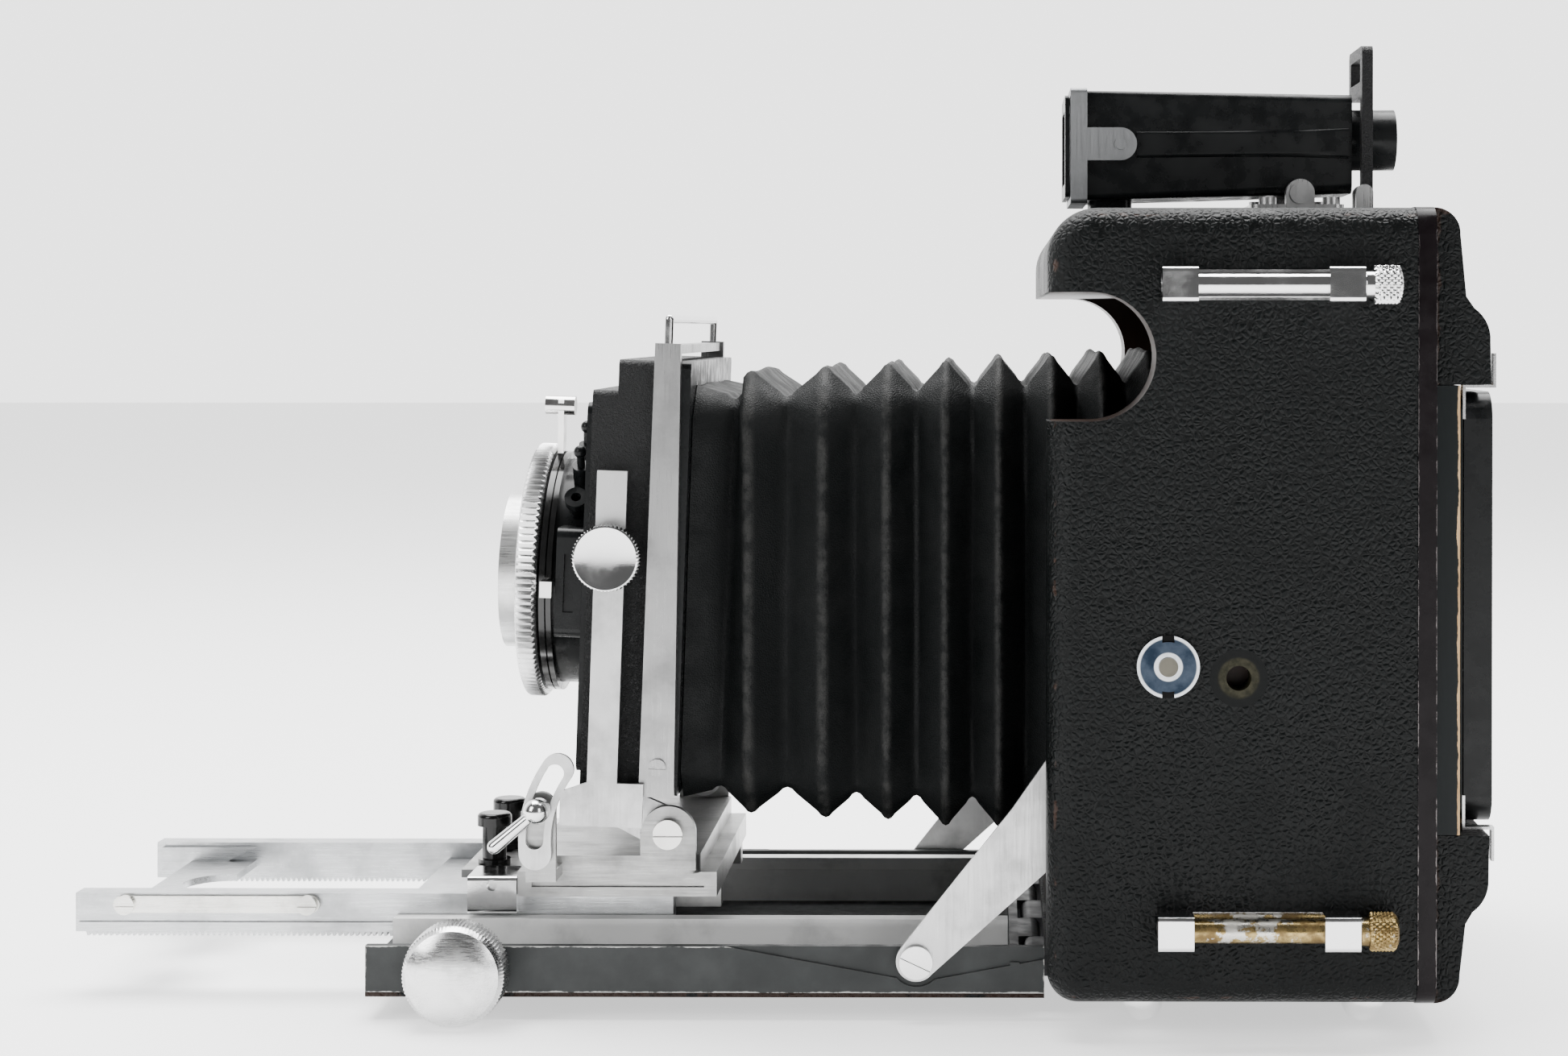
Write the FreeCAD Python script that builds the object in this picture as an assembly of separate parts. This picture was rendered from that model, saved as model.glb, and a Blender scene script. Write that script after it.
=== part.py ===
import FreeCAD, Part
import math
import os

# Folding-bed view camera, modelled piece by piece in millimetres.
# Frame: the lens looks along -X, the ground glass is at +X and +Z is up.
# The origin is the mouth of the tripod socket in the underside of the body.
# The front standard leans back a little about its tilt pivots, as it does when left at rest.

V = FreeCAD.Vector
ALONG_X = V(1, 0, 0)
ALONG_Y = V(0, 1, 0)
ALONG_Z = V(0, 0, 1)
ORIGIN = V(0, 0, 0)

# ---- driving dimensions: body ----
BODY_FRONT = -48.7
BODY_REAR = 45.5
BODY_HALF = 93.0
BODY_TOP = 204.0
BODY_EDGE_R = 7.0
BODY_BROW_R = 13.0
BODY_FOOT_R = 8.0
LEATHER = 1.0
GLUE = 0.02
CAVITY_HALF = 73.0
CAVITY_BOTTOM = 12.0
CAVITY_TOP = 182.3
CAVITY_REAR = 35.0
FILM_HALF_Y = 61.0
FILM_LOW = 51.0
FILM_HIGH = 149.0
WINDOW_R = 16.5
WINDOW_X = -37.5
TRIM_REAR = 50.3
TRIM_PROUD = 0.25
TRIM_WIDTH = 16.0

# ---- tripod sockets: 1/4 inch, 20 threads to the inch ----
SOCKET_R = 3.175
SOCKET_DEPTH = 9.0
BUSH_R = 5.6
BUSH_FLANGE_R = 7.4
BUSH_FLANGE = 0.8
SIDE_SOCKET_Z = 84.0

# ---- finder saddle screws ----
SADDLE_SCREW_R = 1.2
SADDLE_SCREW_X = (15.0, 33.0)
SADDLE_TOP = 207.9
SADDLE_PIN_X = 23.8
SADDLE_PIN_Z = 211.0
SADDLE_PIN_R = 3.0
SADDLE_EYE_R = 4.0
SADDLE_SCREW_Y = (-14.5, 14.5)

# ---- back ----
BACK_FRAME_REAR = 57.0
BACK_HALF = 88.0
LIP_TOP_Z = 158.6
LIP_BOTTOM_Z = 43.0
LIP_GAP = 0.2
TOP_BUMP_X = 64.9
BOTTOM_BUMP_X = 64.6
CAP_FOOT_X = 57.3
SPRING_FRAME = (57.3, 59.0)
SPRING_FRAME_HALF = 80.0
HOOD_X = (60.0, 67.4)
HOOD_HALF = 76.0
HOOD_Z = (43.9, 156.5)
HOOD_WALL = 1.6
HOOD_AXIS = (67.8, 44.2)
HOOD_KNUCKLES = (-50.0, 0.0, 50.0)
HOOD_LEAVES = (-25.0, 25.0)
KNUCKLE_R = 1.0
KNUCKLE_FIT = 0.08
KNUCKLE_HALF = 12.4
LATCH_Z = 140.0
LATCH_R = 3.0

# ---- accessory clips on the viewer's side ----
CLIP_Y = -98.5
CLIP_BLOCK = 9.0
CLIP_ROD_R = 3.0
CLIP_HEAD_R = 5.0
CLIP_FIT = 0.05
CLIPS = {"upper": (-20.0, 30.9, 184.1), "lower": (-21.0, 29.9, 20.7)}
CLIP_HEAD_LENGTH = 7.6
CLIP_NECK = 2.0

# ---- bed ----
HINGE_X = -51.8
HINGE_Z = 3.0
HINGE_R = 2.7
HINGE_PIN_R = 1.3
HINGE_LEAF_REAR = -41.0
HINGE_FIXED_Y = ((-60.0, -36.3), (-12.0, 12.0), (36.3, 60.0))
BED_FRONT = -228.3
BED_REAR = -55.5
BED_HALF = 69.0
BED_CHEEK = 3.0
CHEEK_REAR = -49.0
CHEEK_NOTCH_R = 7.2
BED_BOTTOM = -3.4
BED_FLOOR = (-2.2, -0.6)
BED_TOP = 10.0
STRUT_LOW = (-82.7, 6.7)
STRUT_HIGH = (-18.0, 87.0)
STRUT_Y = (70.0, 71.5)
STRUT_PIN_R = 2.5
STRUT_SLOT_R = 3.2
STRUT_SLOT_RUN = (-2.5, 9.5)
STRUT_END_R = 5.3
STRUT_BELLY = (13.0, 5.6)
STRUT_TOP_R = 10.0
STRUT_SCREW_R = 2.0
STRUT_HEAD_R = 4.35
STRUT_SLOT_TURN = 25.0
GUIDE_DISC_R = 8.0

# ---- focusing rails and pinion ----
TRACK_Y = (41.3, 46.6)
TRACK_TOP = 12.5
RAIL_Y = (34.0, 41.0)
RAIL_X = (-314.0, -150.0)
RAIL_ROOT = 7.63
RAIL_TOP = 18.2
TONGUE_Z = (9.0, 10.4)
TONGUE_OUT = 0.9
GEAR_MODULE = 0.5
PINION_TEETH = 10
GEAR_BACKLASH = 0.12
PINION_X = -203.0
SHAFT_R = 1.8
SHAFT_FIT = 0.05
KNOB_R = 13.6
KNOB_Y = (70.2, 84.0)

# ---- carriage and tilt ----
CARRIAGE_X = (-191.8, -137.6)
CARRIAGE_HALF = 46.0
CARRIAGE_Z = (18.5, 25.2)
PLATFORM_TOP = 30.2
STOP_X = (-205.5, -192.1)
TILT_X = -150.4
TILT_Z = 36.2
LEAN_DEG = 2.0
ARC_R = 34.0
LOCK_ANGLE = 15.5

# ---- front standard, drawn upright and then leaned back ----
BOX_X = (-173.6, -150.0)
BOX_HALF = 58.0
BOX_Z = (47.7, 155.9)
BLOCK_X = -166.8
BLOCK_TOP = 164.3
WIRE_X = -153.6
WIRE_Y = -59.6
WIRE_R = 1.2
WIRE_LOW = 56.0
WIRE_HIGH = 175.5
CHANNEL_Y = (-61.2, -58.0)
UPRIGHT_X = (-171.0, -163.0)
UPRIGHT_Y = (61.6, 63.2)
UPRIGHT_TOP = 134.7
FOOT_BAR_Z = (40.0, 46.0)
RISE_KNOB_Z = 112.0
RISE_KNOB_R = 9.0
LENS_Z = 102.2

# ---- shutter and lens ----
BOARD_FRONT = -176.0
SHUTTER_FRONT = -190.5
SHUTTER_R = 32.0
RING_R = 36.3
RING_X = (-197.0, -190.8)
BOSS_R = 26.9
BORE_R = 22.7
BARREL_R = 22.5
BARREL_X = (-203.5, -178.2)
RIM_LENGTH = 5.0
NECK_STEP = 1.0
GLASS_R = 17.5

# ---- finders ----
FINDER_FRONT = -36.0
FINDER_REAR = 39.0
FINDER_WALL = 1.5
PLATE_TONGUE_X = -26.7
PLATE_TONGUE_Z = 224.8
PLATE_TONGUE_R = 4.6
EYE_Z = 227.0
EYE_R = 8.7
SIGHT_X = 41.6
SIGHT_HINGE_Z = 211.0
SIGHT_KNUCKLE_R = 2.4

# ---- rack and pinion ----
PITCH = math.pi * GEAR_MODULE
TOOTH = 2.25 * GEAR_MODULE
RACK_TIP = RAIL_ROOT - TOOTH
PITCH_R = GEAR_MODULE * PINION_TEETH / 2
SHAFT_Z = RACK_TIP + GEAR_MODULE - PITCH_R - GEAR_BACKLASH

# ---- carriage fittings ----
LOCK_X = TILT_X - ARC_R * math.cos(math.radians(LOCK_ANGLE))
LOCK_Z = TILT_Z + ARC_R * math.sin(math.radians(LOCK_ANGLE))
EAR_Y = (46.5, 49.0)
BRACKET_Y = (44.0, 46.3)
PINCH_X = -204.0
PINCH_Y = 12.5

# ---- bellows: x ends, then half width, low and high edges ----
BELLOWS_X = (-143.0, 30.8)
BELLOWS_FRONT = (55.0, 46.0, 161.0)
BELLOWS_REAR = (65.5, 34.0, 172.0)
BELLOWS_WALL = 4.0


def box(x_span, y_span, z_span):
    low = V(x_span[0], y_span[0], z_span[0])
    return Part.makeBox(x_span[1] - x_span[0], y_span[1] - y_span[0], z_span[1] - z_span[0], low)


def rod(start, direction, radius, length):
    return Part.makeCylinder(radius, length, V(*start), direction)


def pipe(start, direction, outer, inner, length):
    return rod(start, direction, outer, length).cut(rod(start, direction, inner, length))


def fuse(first, *others):
    return first.fuse(list(others)).removeSplitter()


def prism(outline, y_span):
    """A flat outline of (x, z) corners, made solid from one y to the other."""
    corners = [V(x, y_span[0], z) for x, z in outline]
    face = Part.Face(Part.makePolygon(corners + corners[:1]))
    return face.extrude(V(0, y_span[1] - y_span[0], 0))


def edges_along(shape, direction):
    """The straight edges that run along a direction."""
    found = []
    for edge in shape.Edges:
        if isinstance(edge.Curve, Part.Line):
            if abs(edge.tangentAt(edge.FirstParameter).dot(direction)) > 0.999:
                found.append(edge)
    return found


def rounded(shape, direction, radius):
    return shape.makeFillet(radius, edges_along(shape, direction))


def mirrored(shape):
    return shape.mirror(ORIGIN, ALONG_Y)


def both_sides(shape):
    return [shape, mirrored(shape)]


def lean(shape):
    """Tip a piece of the front standard back about the tilt pivots."""
    tipped = shape.copy()
    tipped.rotate(V(TILT_X, 0, TILT_Z), ALONG_Y, LEAN_DEG)
    return tipped


def save(node, *solids):
    whole = solids[0] if len(solids) == 1 else Part.makeCompound(list(solids))
    whole.exportStep("parts/" + node + ".step")


def slotted_screw(start, direction, head_r, head, shank_r, shank, slot_turn=0.0):
    """A cheese-head screw; start is the centre of the head's outer face."""
    slot_width = 0.2 * head_r + 0.4
    slot_depth = 0.35 * head
    screw = fuse(rod(start, direction, head_r, head), rod(start, direction, shank_r, head + shank))
    cutter = Part.makeBox(2.2 * head_r, slot_width, 2 * slot_depth)
    cutter.translate(V(-1.1 * head_r, -slot_width / 2, -slot_depth))
    turn = FreeCAD.Rotation(ALONG_Z, direction).multiply(FreeCAD.Rotation(ALONG_Z, slot_turn))
    cutter.Placement = FreeCAD.Placement(V(*start), turn).multiply(cutter.Placement)
    return screw.cut(cutter)


# ---------------------------------------------------------------- body

def body_block(inset, rear):
    """The body's outer block with its rounded brow and foot, drawn in by an inset."""
    front = BODY_FRONT + inset
    half = BODY_HALF - inset
    top = BODY_TOP - inset
    brow = BODY_BROW_R - inset
    middle = V(front + brow, -half, top - brow)
    brow_mid = middle + V(-brow * math.cos(math.pi / 4), 0, brow * math.sin(math.pi / 4))
    foot = BODY_FOOT_R - inset
    foot_centre = V(front + foot, -half, inset + foot)
    foot_mid = foot_centre + V(-foot * math.cos(math.pi / 4), 0, -foot * math.sin(math.pi / 4))
    foot_high = V(front, -half, inset + foot)
    foot_low = V(front + foot, -half, inset)
    low_rear = V(rear, -half, inset)
    top_rear = V(rear, -half, top)
    brow_end = V(front + brow, -half, top)
    brow_start = V(front, -half, top - brow)
    outline = Part.Wire([
        Part.LineSegment(foot_low, low_rear).toShape(),
        Part.LineSegment(low_rear, top_rear).toShape(),
        Part.LineSegment(top_rear, brow_end).toShape(),
        Part.Arc(brow_end, brow_mid, brow_start).toShape(),
        Part.LineSegment(brow_start, foot_high).toShape(),
        Part.Arc(foot_high, foot_mid, foot_low).toShape(),
    ])
    block = Part.Face(outline).extrude(V(0, 2 * half, 0))
    return rounded(block, ALONG_X, BODY_EDGE_R - inset)


def cavity_cutter():
    cavity = box((BODY_FRONT - 5, CAVITY_REAR), (-CAVITY_HALF, CAVITY_HALF), (CAVITY_BOTTOM, CAVITY_TOP))
    film = box((CAVITY_REAR - 1, BODY_REAR + 1), (-FILM_HALF_Y, FILM_HALF_Y), (FILM_LOW, FILM_HIGH))
    return cavity.fuse(film)


def window_cutter():
    """The cut-out through both side walls, open to the front, that clears the finder wires."""
    reach = BODY_HALF + 5
    middle = CAVITY_TOP - WINDOW_R
    end = rod((WINDOW_X, -reach, middle), ALONG_Y, WINDOW_R, 2 * reach)
    mouth = box((BODY_FRONT - 5, WINDOW_X), (-reach, reach), (middle - WINDOW_R, middle + WINDOW_R))
    return end.fuse(mouth)


def fitting_cutter(clear):
    """Space for the tripod bushes, the strut pins, the finder's screws and the hinge's leaves."""
    low = rod((0, 0, -1), ALONG_Z, BUSH_R + clear, SOCKET_DEPTH + 1)
    low_flange = rod((0, 0, -1), ALONG_Z, BUSH_FLANGE_R + clear, BUSH_FLANGE + 1)
    side = rod((0, -BODY_HALF - 1, SIDE_SOCKET_Z), ALONG_Y, BUSH_R + clear, SOCKET_DEPTH + 1)
    side_flange = rod((0, -BODY_HALF - 1, SIDE_SOCKET_Z), ALONG_Y, BUSH_FLANGE_R + clear, BUSH_FLANGE + 1)
    pins = rod((STRUT_HIGH[0], -BODY_HALF - 1, STRUT_HIGH[1]), ALONG_Y,
               STRUT_PIN_R + clear, 2 * BODY_HALF + 2)
    screws = [rod((x, y, BODY_TOP - 2), ALONG_Z, SADDLE_SCREW_R, 3)
              for x in SADDLE_SCREW_X for y in SADDLE_SCREW_Y]
    leaves = [box((BODY_FRONT - 1, HINGE_LEAF_REAR + clear), (low_y - clear, high_y + clear),
                  (HINGE_Z - HINGE_R - clear, HINGE_Z + HINGE_R + clear))
              for low_y, high_y in HINGE_FIXED_Y]
    return low.fuse([low_flange, side, side_flange, pins] + screws + leaves)


def boards(block):
    """Splits the hollow block into its top, bottom, two side and rear boards."""
    far = 2 * BODY_TOP
    depth = (-far, far)
    inner = (CAVITY_BOTTOM, CAVITY_TOP)
    cells = [
        box(depth, depth, (CAVITY_TOP, far)),
        box(depth, depth, (-far, CAVITY_BOTTOM)),
        box(depth, (-far, -CAVITY_HALF), inner),
        box(depth, (CAVITY_HALF, far), inner),
        box((CAVITY_REAR, far), (-CAVITY_HALF, CAVITY_HALF), inner),
    ]
    return [block.common(cell) for cell in cells]


def make_body():
    openings = cavity_cutter().fuse([window_cutter(), fitting_cutter(GLUE)])
    save("wood_box", *boards(body_block(LEATHER + GLUE, BODY_REAR).cut(openings)))
    skin = body_block(0, BODY_REAR).cut(body_block(LEATHER, BODY_REAR + 1))
    save("leather_cover", skin.cut(openings))


def make_trim():
    half = BODY_HALF + TRIM_PROUD
    ring = box((BODY_REAR, TRIM_REAR), (-half, half), (-TRIM_PROUD, BODY_TOP + TRIM_PROUD))
    ring = rounded(ring, ALONG_X, BODY_EDGE_R + TRIM_PROUD)
    inside = BODY_HALF - TRIM_WIDTH
    ring = ring.cut(box((BODY_REAR - 1, TRIM_REAR + 1), (-inside, inside),
                        (TRIM_WIDTH, BODY_TOP - TRIM_WIDTH)))
    save("trim_frame", ring)


def make_sockets():
    bush = fuse(rod((0, 0, 0), ALONG_Z, BUSH_R, SOCKET_DEPTH),
                rod((0, 0, 0), ALONG_Z, BUSH_FLANGE_R, BUSH_FLANGE))
    bush = bush.cut(rod((0, 0, -1), ALONG_Z, SOCKET_R, SOCKET_DEPTH + 2))
    side = bush.copy()
    side.rotate(ORIGIN, ALONG_X, -90)
    side.translate(V(0, -BODY_HALF, SIDE_SOCKET_Z))
    save("tripod_bushes", bush, side)


def make_strut_pins():
    disc = 1.4
    notch = 1.6
    x, z = STRUT_HIGH
    outer = -BODY_HALF - disc
    inner = -STRUT_Y[0] + 0.4
    pin = fuse(rod((x, outer, z), ALONG_Y, GUIDE_DISC_R, disc),
               rod((x, outer - 0.6, z), ALONG_Y, STRUT_PIN_R, inner - outer + 0.6),
               rod((x, inner, z), ALONG_Y, 2 * STRUT_PIN_R, 1.2))
    for side in (-1, 1):
        edge = z + side * GUIDE_DISC_R
        pin = pin.cut(box((x - notch, x + notch), (outer - 1, outer + 0.8), (edge - notch, edge + notch)))
    save("strut_guide_pins", *both_sides(pin))


def make_feet():
    foot_r = 5.5
    foot_drop = 0.5
    feet = []
    for x in (-24.0, 33.0):
        for y in (-81.0, 81.0):
            ball = Part.makeSphere(foot_r, V(x, y, -foot_drop))
            below = box((x - 9, x + 9), (y - 9, y + 9), (-9, 0))
            feet.append(ball.common(below))
    save("feet", *feet)


def make_clips():
    brackets = []
    wall = -BODY_HALF
    half = CLIP_BLOCK / 2
    for name, (left, right, z) in CLIPS.items():
        bracket = box((left + 1, right - 1), (wall - 1.0, wall), (z - half + 0.6, z + half - 0.6))
        for start in (left, right - CLIP_BLOCK):
            block = box((start, start + CLIP_BLOCK), (CLIP_Y - half, wall - 0.5), (z - half, z + half))
            bracket = bracket.fuse(rounded(block, ALONG_X, 1.2))
        bracket = bracket.cut(rod((left - 1, CLIP_Y, z), ALONG_X, CLIP_ROD_R + CLIP_FIT, right - left + 2))
        brackets.append(bracket.removeSplitter())
        head_start = right + CLIP_NECK + 0.3
        shank = rod((left + 1, CLIP_Y, z), ALONG_X, CLIP_ROD_R, head_start - left - 1)
        neck = rod((right + 0.3, CLIP_Y, z), ALONG_X, 0.72 * CLIP_HEAD_R, CLIP_NECK)
        head = rod((head_start, CLIP_Y, z), ALONG_X, CLIP_HEAD_R, CLIP_HEAD_LENGTH)
        save(name + "_clip_pin", fuse(shank, neck, head))
    save("clip_brackets", *brackets)


# ---------------------------------------------------------------- back

def cap_outline(lip_z, bump_x, foot_x, outward):
    """Side outline of a leather cap: a square lip, a bulge that rounds away and a rounded end."""
    far = BODY_TOP if outward > 0 else 0.0

    def at(x, z):
        return V(x, -BACK_HALF, z)

    start = at(TRIM_REAR, lip_z)
    lip = at(bump_x, lip_z)
    crest = at(bump_x - 0.2, lip_z + outward * 11.0)
    crown = at(bump_x - 1.2, lip_z + outward * 16.0)
    bend = at(bump_x - 4.3, lip_z + outward * 19.6)
    foot = at(foot_x + 1.2, lip_z + outward * 22.6)
    shoulder = at(foot_x - 0.3, far - outward * 7.0)
    turn = at(foot_x - 2.2, far - outward * 2.0)
    end = at(TRIM_REAR, far)
    return Part.Wire([
        Part.LineSegment(start, lip).toShape(),
        Part.LineSegment(lip, crest).toShape(),
        Part.Arc(crest, crown, bend).toShape(),
        Part.LineSegment(bend, foot).toShape(),
        Part.LineSegment(foot, shoulder).toShape(),
        Part.Arc(shoulder, turn, end).toShape(),
        Part.LineSegment(end, start).toShape(),
    ])


def make_back():
    frame = box((TRIM_REAR, BACK_FRAME_REAR), (-BACK_HALF, BACK_HALF),
                (LIP_BOTTOM_Z + LIP_GAP, LIP_TOP_Z - LIP_GAP))
    light = box((TRIM_REAR - 1, 70), (-FILM_HALF_Y, FILM_HALF_Y), (FILM_LOW, FILM_HIGH))
    save("back_frame", frame.cut(light))
    caps = [cap_outline(LIP_TOP_Z, TOP_BUMP_X, CAP_FOOT_X, 1),
            cap_outline(LIP_BOTTOM_Z, BOTTOM_BUMP_X, CAP_FOOT_X, -1)]
    save("back_caps", *[Part.Face(outline).extrude(V(0, 2 * BACK_HALF, 0)) for outline in caps])
    low = HOOD_Z[0] + 1.4
    high = HOOD_Z[1] - 1.4
    carrier = box(SPRING_FRAME, (-SPRING_FRAME_HALF, SPRING_FRAME_HALF), (low, high))
    carrier = rounded(carrier, ALONG_X, 4.0).cut(light)
    web_z = (LIP_BOTTOM_Z + LIP_GAP, HOOD_Z[0] - 0.1)
    for middle in HOOD_LEAVES:
        span = (middle - KNUCKLE_HALF, middle + KNUCKLE_HALF)
        leaf = fuse(box(SPRING_FRAME, span, (web_z[0], low + 1)),
                    box((SPRING_FRAME[0], HOOD_AXIS[0]), span, web_z),
                    hood_knuckle(middle))
        carrier = carrier.fuse(leaf)
    save("spring_back_frame", carrier.removeSplitter())
    glass_edge = 1.8
    glass = box((SPRING_FRAME[1], SPRING_FRAME[1] + 2),
                (-FILM_HALF_Y - glass_edge, FILM_HALF_Y + glass_edge),
                (FILM_LOW - glass_edge, FILM_HIGH + glass_edge))
    save("ground_glass", glass)


def hood_knuckle(middle):
    return rod((HOOD_AXIS[0], middle - KNUCKLE_HALF, HOOD_AXIS[1]), ALONG_Y, KNUCKLE_R, 2 * KNUCKLE_HALF)


def make_hood():
    lid = rounded(box(HOOD_X, (-HOOD_HALF, HOOD_HALF), HOOD_Z), ALONG_X, 7.0)
    inner = rounded(box((HOOD_X[0] - 1, HOOD_X[1] - HOOD_WALL),
                        (-HOOD_HALF + HOOD_WALL, HOOD_HALF - HOOD_WALL),
                        (HOOD_Z[0] + HOOD_WALL, HOOD_Z[1] - HOOD_WALL)), ALONG_X, 5.5)
    bore = rod((HOOD_X[1] - 5, 0, LATCH_Z), ALONG_X, LATCH_R + 0.06, 10)
    lid = lid.cut(inner).cut(bore)
    for middle in HOOD_LEAVES:
        clear = KNUCKLE_HALF + KNUCKLE_FIT
        notch = rod((HOOD_AXIS[0], middle - clear, HOOD_AXIS[1]), ALONG_Y,
                    KNUCKLE_R + KNUCKLE_FIT, 2 * clear)
        lid = lid.cut(notch)
    for middle in HOOD_KNUCKLES:
        lid = lid.fuse(hood_knuckle(middle))
    save("focusing_hood", lid.removeSplitter())
    stem = rod((HOOD_X[1] - HOOD_WALL - 0.4, 0, LATCH_Z), ALONG_X, LATCH_R, HOOD_WALL + 2.2)
    save("hood_latch_button", stem)


def make_back_springs():
    thick = 0.7
    arm_y = (-SPRING_FRAME_HALF, -SPRING_FRAME_HALF + 3.4)
    hooks = []
    for lip_z, bump_x, outward in ((LIP_TOP_Z, TOP_BUMP_X, 1), (LIP_BOTTOM_Z, BOTTOM_BUMP_X, -1)):
        out_z = sorted((lip_z - outward * 0.9, lip_z + outward * 8.0))
        web_z = sorted((lip_z - outward * 0.9, lip_z - outward * 0.2))
        in_z = sorted((lip_z - outward * 0.9, lip_z - outward * 9.0))
        leg = bump_x + 2.0
        hook = fuse(box((leg, leg + thick), arm_y, out_z),
                    box((SPRING_FRAME[1], leg + thick), arm_y, web_z),
                    box((SPRING_FRAME[1], SPRING_FRAME[1] + thick), arm_y, in_z))
        hooks.extend(both_sides(hook))
    save("back_leaf_springs", *hooks)


# ---------------------------------------------------------------- finders on the top

def rect_wire(x, half_y, low_z, high_z, corner):
    """An upright rectangle with rounded corners, as a wire at one x."""
    block = box((x, x + 1), (-half_y, half_y), (low_z, high_z))
    block = rounded(block, ALONG_X, corner)
    face = min(block.Faces, key=lambda f: f.CenterOfMass.x)
    return face.OuterWire


def make_finder():
    plate = rounded(box((-40.7, FINDER_FRONT), (-20, 20), (208.2, 240.6)), ALONG_X, 1.5)
    view = box((-42, -35), (-15.5, 15.5), (211.5, 236.0))
    ear = rod((PLATE_TONGUE_X, -20, PLATE_TONGUE_Z), ALONG_Y, PLATE_TONGUE_R, 1.4)
    tongue_z = (PLATE_TONGUE_Z - PLATE_TONGUE_R, PLATE_TONGUE_Z + PLATE_TONGUE_R)
    ear = ear.fuse(box((FINDER_FRONT - 1, PLATE_TONGUE_X), (-20, -18.6), tongue_z))
    rivet = rod((PLATE_TONGUE_X, -21.0, PLATE_TONGUE_Z), ALONG_Y, 1.6, 2.0)
    lug = ear.fuse(rivet)
    save("finder_front_plate", fuse(plate.cut(view), lug, mirrored(lug)))
    mask = rounded(box((-42.2, -41.0), (-18.5, 18.5), (210.0, 238.6)), ALONG_X, 2.0)
    save("finder_mask", mask.cut(box((-43, -40), (-13, 13), (214.0, 234.5))))

    outer = Part.makeLoft([rect_wire(FINDER_FRONT, 17.6, 209.2, 240.0, 1.5),
                           rect_wire(FINDER_REAR, 13.0, 211.2, 239.2, 3.0)], True, True)
    inner = Part.makeLoft([rect_wire(FINDER_FRONT - 0.1, 16.1, 210.7, 238.5, 1.0),
                           rect_wire(FINDER_REAR - FINDER_WALL, 11.5, 212.7, 237.7, 2.0)], True, True)
    eyepiece = rod((FINDER_REAR - 1, 0, EYE_Z), ALONG_X, EYE_R, 14.4)
    foot = rounded(box((-35, -23), (-10, 10), (206.2, 211.0)), ALONG_Z, 2.0)
    ridge = Part.makeLoft([rect_wire(-22.0, 17.5, 221.0, 228.6, 1.0),
                           rect_wire(38.0, 13.9, 221.0, 229.8, 1.0)], True, True)
    body = fuse(outer, eyepiece, foot, ridge).cut(inner)
    body = body.cut(rod((FINDER_REAR - 5, 0, EYE_Z), ALONG_X, EYE_R - 1.8, 20))
    save("finder_tube", body)
    front = rounded(box((-39.5, -37.5), (-15.5, 15.5), (211.5, 236.0)), ALONG_X, 0.5)
    rear = rod((46, 0, EYE_Z), ALONG_X, EYE_R - 1.8, 2.5)
    save("finder_glass", front, rear)


def make_top_mounts():
    front_base = rounded(box((-36.5, -21.5), (-12, 12), (BODY_TOP, 206.2)), ALONG_Z, 2.0)
    base = rounded(box((10, 36.3), (-19, 19), (BODY_TOP, SADDLE_TOP)), ALONG_Z, 2.5)
    cheek = rod((SADDLE_PIN_X, -18.9, SADDLE_PIN_Z), ALONG_Y, SADDLE_EYE_R, 3.9)
    cheek = cheek.fuse(box((SADDLE_PIN_X - SADDLE_EYE_R, SADDLE_PIN_X + SADDLE_EYE_R), (-18.9, -15.0),
                           (SADDLE_TOP - 1, SADDLE_PIN_Z)))
    saddle = base.fuse([cheek, mirrored(cheek)])
    saddle = saddle.cut(rod((SADDLE_PIN_X, -20, SADDLE_PIN_Z), ALONG_Y, SADDLE_PIN_R, 40))
    pin = rod((SADDLE_PIN_X, -19.5, SADDLE_PIN_Z), ALONG_Y, SADDLE_PIN_R, 5.2)
    screws = []
    for x in SADDLE_SCREW_X:
        for y in SADDLE_SCREW_Y:
            saddle = saddle.cut(rod((x, y, BODY_TOP - 1), ALONG_Z, SADDLE_SCREW_R, 8))
            screws.append(slotted_screw((x, y, SADDLE_TOP + 2.1), V(0, 0, -1),
                                        2.5, 2.1, SADDLE_SCREW_R, 4.0))
    sight_base = rounded(box((36.6, 44.6), (-19, -8), (BODY_TOP, 205.6)), ALONG_Z, 1.0)
    knuckles = [rod((SIGHT_X, y, SIGHT_HINGE_Z), ALONG_Y, SIGHT_KNUCKLE_R, 2.2) for y in (-20.6, -13.6)]
    web_x = (SIGHT_X - SIGHT_KNUCKLE_R, SIGHT_X + SIGHT_KNUCKLE_R)
    webs = [box(web_x, (y, y + 2.2), (205.0, SIGHT_HINGE_Z)) for y in (-20.6, -13.6)]
    sight_base = sight_base.fuse(box((36.6, 44.6), (-20.6, -11.4), (BODY_TOP, 205.6)))
    sight_base = fuse(sight_base, *knuckles, *webs)
    axle = rod((SIGHT_X, -20.6, SIGHT_HINGE_Z), ALONG_Y, 0.8, 9.2)
    sight_base = fuse(sight_base, axle)
    save("finder_mounts", front_base, saddle.removeSplitter(), *both_sides(pin), sight_base, *screws)


def make_peep_sight():
    thick = (SIGHT_X - 0.5, SIGHT_X + 2.6)
    arm = box(thick, (-18.2, -13.8), (SIGHT_HINGE_Z, 240.0))
    frame = rounded(box(thick, (-18.2, 10), (238.4, 252.5)), ALONG_X, 2.2)
    frame = frame.cut(box((40, 46), (-14, 6), (242.6, 249.2)))
    knuckle = rod((SIGHT_X, -18.2, SIGHT_HINGE_Z), ALONG_Y, 2.2, 4.4)
    sight = fuse(arm, frame, knuckle).cut(rod((SIGHT_X, -19, SIGHT_HINGE_Z), ALONG_Y, 0.85, 6))
    save("peep_sight", sight)


# ---------------------------------------------------------------- bed

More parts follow.
